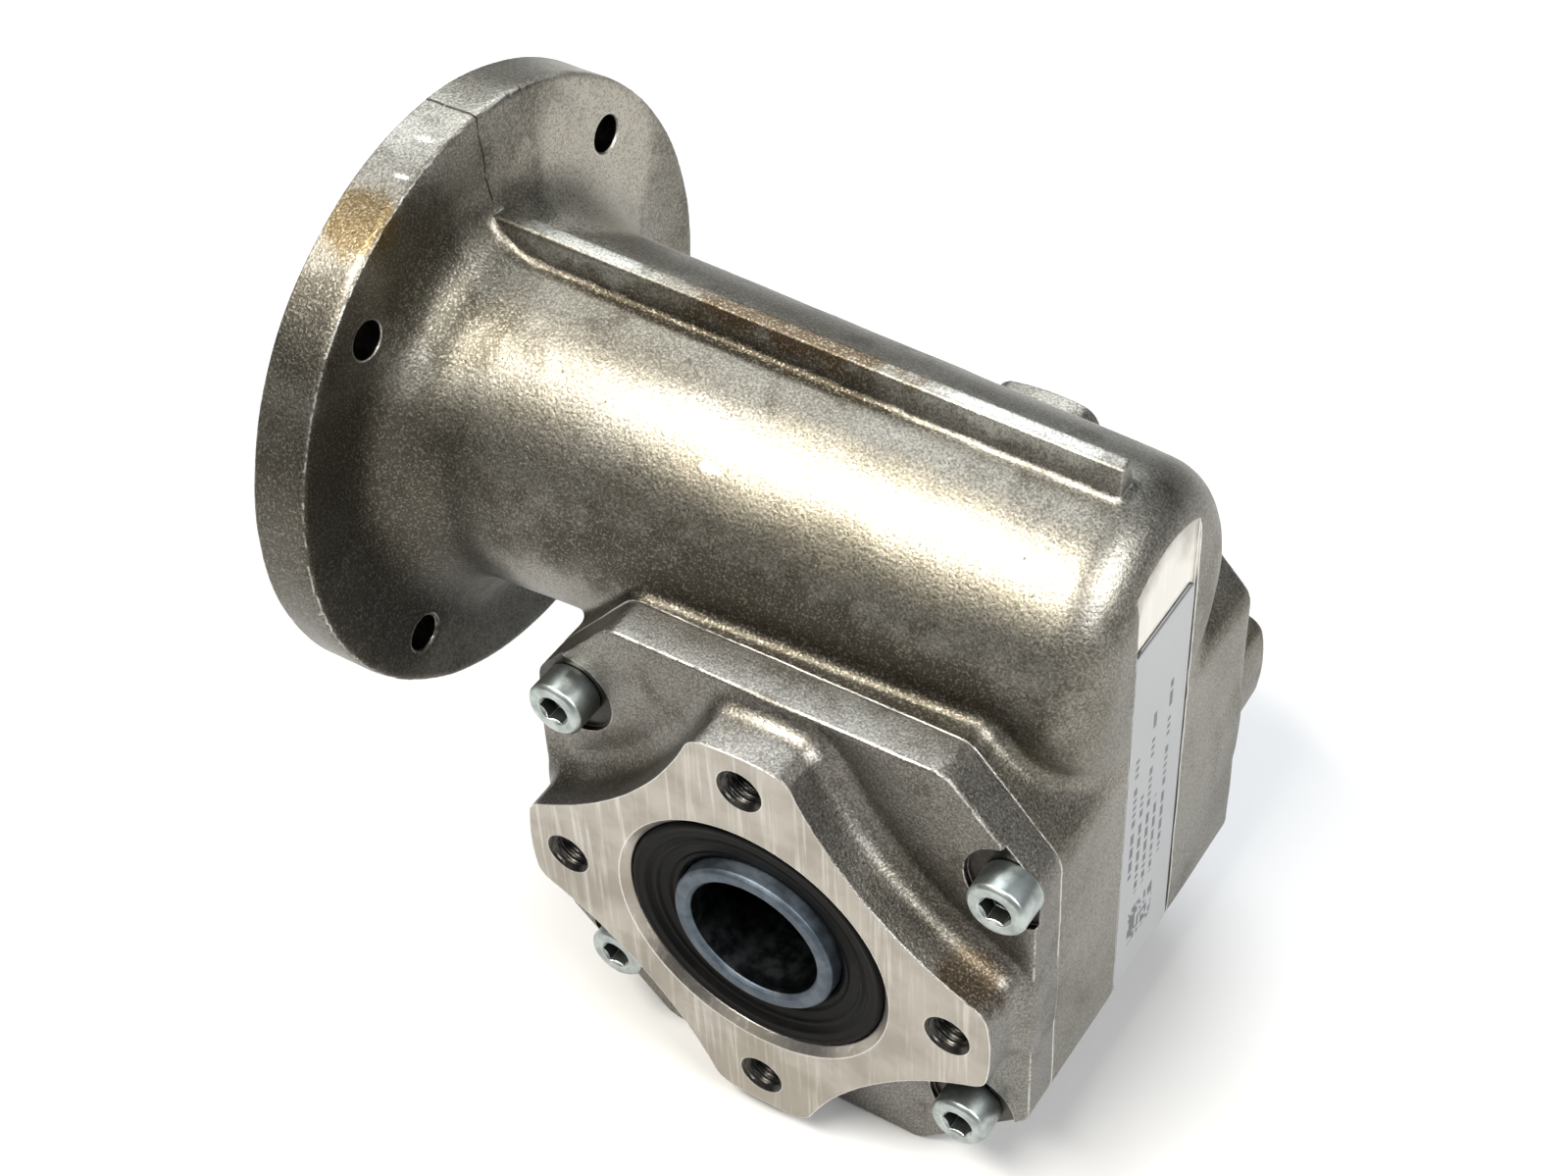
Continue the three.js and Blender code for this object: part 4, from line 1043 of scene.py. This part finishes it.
def label_material():
    """Pale film with a dark border line and generic bars and blocks, with no lettering."""
    n = Nodes("label_film", 0.0)
    low, high = (to_row(corner) for corner in extent("rating_label"))
    axes = n.add("SeparateXYZ", {"Vector": n.place}).outputs
    across = n.math("SUBTRACT", axes["Y"], float(low[1]))
    along = n.math("SUBTRACT", float(high[2]), axes["Z"])

    def box(a0, a1, l0, l1):
        """1 inside a rectangle given in millimetres across and along the film."""
        inside = 1.0
        for value, least, most in ((across, a0, a1), (along, l0, l1)):
            inside = n.math("MULTIPLY", inside, n.math("GREATER_THAN", value, least * MM))
            inside = n.math("MULTIPLY", inside, n.math("LESS_THAN", value, most * MM))
        return inside

    def cells(size_across, size_along, share):
        """1 in a random share of the cells of a grid."""
        grid = n.add("CombineXYZ", {
            "X": n.math("FLOOR", n.math("DIVIDE", across, size_across * MM)),
            "Y": n.math("FLOOR", n.math("DIVIDE", along, size_along * MM)),
        }).outputs[0]
        value = n.add("TexWhiteNoise", {"Vector": grid}, noise_dimensions="2D").outputs["Value"]
        return n.math("LESS_THAN", value, share)

    ink = box(0, 16, 0.0, 0.55)
    bars = [
        (2.0, 3.0, 20, 45), (4.3, 5.2, 30, 50), (6.5, 7.4, 16, 50), (8.7, 9.5, 34, 50), (11, 11.9, 14, 48),
    ]
    for a0, a1, l0, l1 in bars:
        ink = n.math("MAXIMUM", ink, n.math("MULTIPLY", box(a0, a1, l0, l1), cells(20, 0.7, 0.66)))
    ink = n.math("MAXIMUM", ink, n.math("MULTIPLY", box(3.2, 10.4, 53, 60.2), cells(0.6, 0.6, 0.5)))
    haze = n.noise(4, 4, 0.6)
    paper = n.blend(haze, (0.21, 0.22, 0.225), (0.27, 0.275, 0.275))
    colour = n.blend(ink, paper, (0.05, 0.05, 0.055))
    return n.finish(colour, n.scaled(haze, 0.15, 0.3), n.bump(haze, 0.1, 0.02))


def bronze_material():
    """Cast bronze, cut bright at the teeth."""
    n = Nodes("wheel_bronze", 1.0)
    normal, edge = n.edges(0.2)
    haze = n.noise(3, 4, 0.6)
    colour = n.blend(haze, (0.55, 0.33, 0.11), (0.7, 0.46, 0.2))
    colour = n.glaze(colour, edge, 0.4, (0.9, 0.68, 0.36))
    rough = n.scaled(haze, 0.2, 0.22)
    return n.finish(colour, rough, n.bump(n.noise(0.4, 2), 0.2, 0.02, normal))


# ---- stage


def add_area_light(name, towards, distance, size, power, colour, target):
    light = bpy.data.lights.new(name, "AREA")
    light.shape = "RECTANGLE"
    light.size, light.size_y = size
    light.energy = power
    light.color = colour
    lamp = add_object(name, light)
    direction = Vector(towards).normalized()
    lamp.location = target + direction * distance
    lamp.rotation_mode = "QUATERNION"
    lamp.rotation_quaternion = direction.to_track_quat("Z", "Y")


def make_stage(target):
    """A plain pale floor, a dim room above it and large soft lights."""
    mesh = bpy.data.meshes.new("floor")
    reach = 0.9
    mesh.from_pydata([(-reach, -reach, 0), (reach, -reach, 0), (reach, reach, 0), (-reach, reach, 0)],
                     [], [(0, 1, 2, 3)])
    floor = add_object("floor", mesh)
    floor.location.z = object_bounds()[0].z - 0.0002
    n = Nodes("floor_paper", 0.0, (0.44, 0.44, 0.44))
    mesh.materials.append(n.finish(
        n.blend(n.noise(60, 3), (0.45, 0.45, 0.45), (0.43, 0.43, 0.43)), 0.6))
    floor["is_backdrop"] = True

    world = bpy.data.worlds.new("room")
    bpy.context.scene.world = world
    world.use_nodes = True
    nodes, link = world.node_tree.nodes, world.node_tree.links.new
    place = nodes.new("ShaderNodeTexCoord")
    split = nodes.new("ShaderNodeSeparateXYZ")
    ramp = nodes.new("ShaderNodeValToRGB")
    link(place.outputs["Generated"], split.inputs[0])
    link(split.outputs["Z"], ramp.inputs["Fac"])
    ramp.color_ramp.elements[0].color = (0.02, 0.02, 0.02, 1)
    ramp.color_ramp.elements[1].color = (0.34, 0.36, 0.38, 1)
    ramp.color_ramp.elements[1].position = 0.85
    backdrop = nodes.new("ShaderNodeMix")
    backdrop.data_type = "RGBA"
    backdrop.inputs[7].default_value = (0.9, 0.9, 0.9, 1)
    link(nodes.new("ShaderNodeLightPath").outputs["Is Camera Ray"], backdrop.inputs[0])
    link(ramp.outputs["Color"], backdrop.inputs[6])
    link(backdrop.outputs[2], nodes["Background"].inputs["Color"])

    add_area_light("key", (-0.2, -0.44, 0.83), 0.9, (0.66, 0.24), 19, (1, 0.96, 0.88), target)
    add_area_light("top", (-0.35, 0.55, 0.75), 1.1, (0.9, 0.6), 13, (0.9, 0.95, 1), target)
    add_area_light("side", (0.75, -0.15, 0.65), 1.2, (0.6, 0.6), 20, (1, 1, 1), target)


def make_camera():
    """A long lens to the front right, 44 degrees above the horizon."""
    azimuth, elevation, roll = math.radians(34.745), math.radians(43.97), math.radians(3.292)
    forward = Vector((-math.sin(azimuth) * math.cos(elevation),
                      math.cos(azimuth) * math.cos(elevation), -math.sin(elevation)))
    data = bpy.data.cameras.new("camera")
    data.sensor_width = 36.0
    data.lens = 60.22
    data.clip_start = 0.01
    camera = add_object("camera", data)
    camera.location = ORIGIN + Vector((130.35, -215.94, 275.6)) * MM
    camera.rotation_mode = "QUATERNION"
    camera.rotation_quaternion = forward.to_track_quat("-Z", "Y") @ Quaternion((0, 0, 1), -roll)
    bpy.context.scene.camera = camera


# ---- the gearbox

# Stained, scuffed and toned places, and painted light and shade where the comment above an entry says so:
# centre in mm, radius in mm, raggedness, squash, tint, amount
HOUSING_PATCHES = [
    # Painted highlight: a paler band along the tube's upper front, where the key light's reflection falls
    ((5, -15, 58), 10, 0.5, (0.24, 1, 1), (0.26, 0.235, 0.18), 0.7),
    # Painted shade: a dark band along the lower front of the tube and the top of the body
    ((-5, -26, 43), 10, 0.5, (0.16, 1, 1), (0.035, 0.03, 0.022), 0.85),
    # Painted shade: dark on the lower front of the tube and the flange's inner face next to it
    ((-58, -27, 22), 17, 0.5, (1, 1, 0.8), (0.028, 0.025, 0.018), 0.9),
    # Painted shade: dark on the flange's inner face between its rim and the rib
    ((-59, -16, 72), 12, 0.5, (1, 1, 0.7), (0.045, 0.04, 0.028), 0.85),
    # Painted reflection: a paler patch on the flange's inner face behind the tube, standing for the bright
    # floor it would reflect
    ((-59, 26, 68), 20, 0.7, (1, 1, 0.8), (0.44, 0.41, 0.35), 0.8),
    # Painted shade: the lower front of the flange's rim darkened
    ((-67, -41, 42), 30, 0.4, (1, 1, 1), (0.055, 0.05, 0.04), 0.8),
    # Painted shade: darkens the rim where the key light's reflection falls
    ((-67, -32, 72), 11, 0.3, (1, 1, 1), (0.05, 0.045, 0.036), 0.85),
    ((-67.5, -20.5, 80.5), 6.5, 0.4, (0.8, 1, 1), (0.085, 0.056, 0.018), 0.85),
    ((-67, -6.5, 85.0), 0.5, 1.3, (0.3, 0.8, 1), (0.75, 0.76, 0.73), 0.7),
    ((-66, -13, 83.4), 0.4, 1.3, (0.25, 0.9, 1), (0.75, 0.76, 0.73), 0.7),
    ((-18, -17, 58), 0.9, 0.9, (0.5, 1, 1), (0.9, 0.9, 0.85), 0.9),
    ((-20, -2.6, 66), 4.5, 0.2, (0.09, 3, 1), (0.022, 0.017, 0.01), 0.92),
    ((-48, 0, 70), 7, 0.9, (0.5, 2, 2), (0.36, 0.36, 0.32), 0.6),
    ((18, 0, 68), 7, 0.9, (0.5, 2, 2), (0.42, 0.42, 0.38), 0.7),
    ((-14, 0, 69), 8, 0.9, (0.4, 2, 2), (0.05, 0.029, 0.01), 0.85),
    # Painted light: a paler patch over the end face, lifting it as more light from the right would
    ((39, 0, 5), 26, 0.5, (1, 0.8, 0.8), (0.25, 0.235, 0.205), 0.75),
]
COVER_PATCHES = [
    ((31, -37, 8), 6.5, 0.5, (1, 1, 1), (0.05, 0.031, 0.013), 0.85),
    ((-20, -33, 16), 8, 0.7, (1, 1, 1), (0.08, 0.068, 0.048), 0.6),
    # Painted shadow: the lower left of the plate, in the shadow of the star's left arm
    ((-34, -33, 6), 8, 0.6, (1, 1, 1), (0.045, 0.04, 0.032), 0.75),
    ((22, -33, 16), 10, 0.7, (1, 1, 1), (0.08, 0.072, 0.056), 0.5),
]
MILLED_PATCHES = [
    # Painted highlight: the milled band above the label made paler
    ((END_FACE_X, 0, 46), 13, 0.5, (1, 1, 1), (0.72, 0.7, 0.65), 0.85),
    # Painted shade: the lower part of the star's milled face made darker
    ((0, -FACE_Y, -32), 13, 0.6, (0.7, 1, 1), (0.24, 0.215, 0.17), 0.6),
    ((-30, -FACE_Y, -2), 9, 0.8, (1, 1, 1), (0.24, 0.215, 0.18), 0.6),
    ((-16, -FACE_Y, -17), 9, 0.8, (1, 1, 1), (0.2, 0.175, 0.14), 0.5),
]
SEAM = (0.3, FLANGE_BACK_X + 2, CENTRE + 27)

housing_metal = cast_metal(
    "housing_cast", (0.145, 0.133, 0.108), (0.205, 0.196, 0.172), (0.055, 0.048, 0.036),
    HOUSING_PATCHES, SEAM)
cover_metal = cast_metal(
    "cover_cast", (0.155, 0.146, 0.13), (0.2, 0.195, 0.182), (0.07, 0.06, 0.046), COVER_PATCHES)
milled_metal = machined_metal(
    "milled_face", (0.37, 0.345, 0.305), (0.27, 0.245, 0.21), (1, 1, 0.04), 0.8, MILLED_PATCHES)
# Painted shade: near black walls inside the holes and spot faces, where little light reaches
hole_shade_metal = machined_metal("hole_wall_shade", (0.05, 0.046, 0.041), (0.022, 0.02, 0.017), (1, 1, 1), 0.1)
zinc = plated_steel("zinc_plate", (0.4, 0.44, 0.43), (0.24, 0.27, 0.26), 0.26)
# Painted shade: a darker copy of the zinc for the inside of the hex socket
socket_shade_zinc = plated_steel("zinc_socket_shade", (0.13, 0.145, 0.14), (0.06, 0.066, 0.062), 0.34)
shaft_metal = plated_steel("shaft_oxide", (0.065, 0.08, 0.1), (0.11, 0.135, 0.16), 0.42)
# Painted shade: the near black inside of the hollow shaft's bore
bore_shade_metal = plated_steel("bore_shade", (0.006, 0.007, 0.008), (0.03, 0.033, 0.036), 0.35)
ground_metal = plated_steel("ground_steel", (0.6, 0.6, 0.61), (0.52, 0.52, 0.53), 0.12)
iron_metal = plated_steel("hub_iron", (0.13, 0.13, 0.135), (0.2, 0.195, 0.19), 0.5, 0.9)
spring_metal = plated_steel("spring_steel", (0.06, 0.06, 0.065), (0.12, 0.12, 0.125), 0.35)
rubber = rubber_material()
bronze = bronze_material()

stand_for(make_housing(), "housing", housing_metal, milled_metal, hole_shade_metal)
stand_for(make_cover(), "output_cover", cover_metal, milled_metal, hole_shade_metal)
for number, (screw_x, screw_z) in enumerate(SCREW_PLACES, 1):
    stand_for(make_screw(f"cap_screw_{number}", screw_x, screw_z), f"cover_screw_{number}", zinc, socket_shade_zinc)
stand_for(make_o_ring(), "cover_o_ring", rubber)

recess = FACE_Y - SEAL_RECESS
for name, side in (("front", -1), ("rear", 1)):
    seal = make_seal(f"{name}_shaft_seal", SEAT_R, OUTPUT_SEAL_R, side * recess, -side, about_y)
    stand_for(seal, f"{name}_output_seal", rubber)
motor_seal_x = FLANGE_FACE_X + 4.5
input_seal = make_seal("motor_side_shaft_seal", MOTOR_SEAT_R, WORM_BEARING_R, motor_seal_x, 1, about_x)
stand_for(input_seal, "input_seal", rubber)

near_y, far_y = OUTPUT_BEARING_Y
for name, inner, outer, ends, about in (
    ("front_output_bearing", SEAT_R, OUTPUT_BEARING_R, (-far_y, -near_y), about_y),
    ("rear_output_bearing", SEAT_R, OUTPUT_BEARING_R, (near_y, far_y), about_y),
    ("motor_side_worm_bearing", MOTOR_SEAT_R, WORM_BEARING_R, MOTOR_BEARING_X, about_x),
    ("end_worm_bearing", END_SEAT_R, END_BEARING_R, END_BEARING_X, about_x),
):
    parts = make_bearing(name, inner, outer, *ends, about)
    for part, suffix in zip(parts, ("outer_ring", "inner_ring", "ball_cage")):
        stand_for(part, f"{name}_{suffix}", ground_metal)

stand_for(make_output_shaft(), "output_shaft", shaft_metal, bore_shade_metal)
stand_for(make_key(), "wheel_key", zinc)
stand_for(make_hub(), "wheel_hub", iron_metal)
stand_for(make_wheel_rim(), "worm_wheel_rim", bronze)
stand_for(make_worm(), "worm_shaft", shaft_metal)
stand_for(make_circlip(), "bearing_circlip", spring_metal)
stand_for(make_shim(), "end_bearing_shim", spring_metal)
stand_for(make_label(), "rating_label", label_material())

target = ORIGIN + Vector((-15, 0, 20)) * MM
make_stage(target)
make_camera()
scene = bpy.context.scene
scene.view_settings.view_transform = "Standard"
scene.view_settings.look = "None"
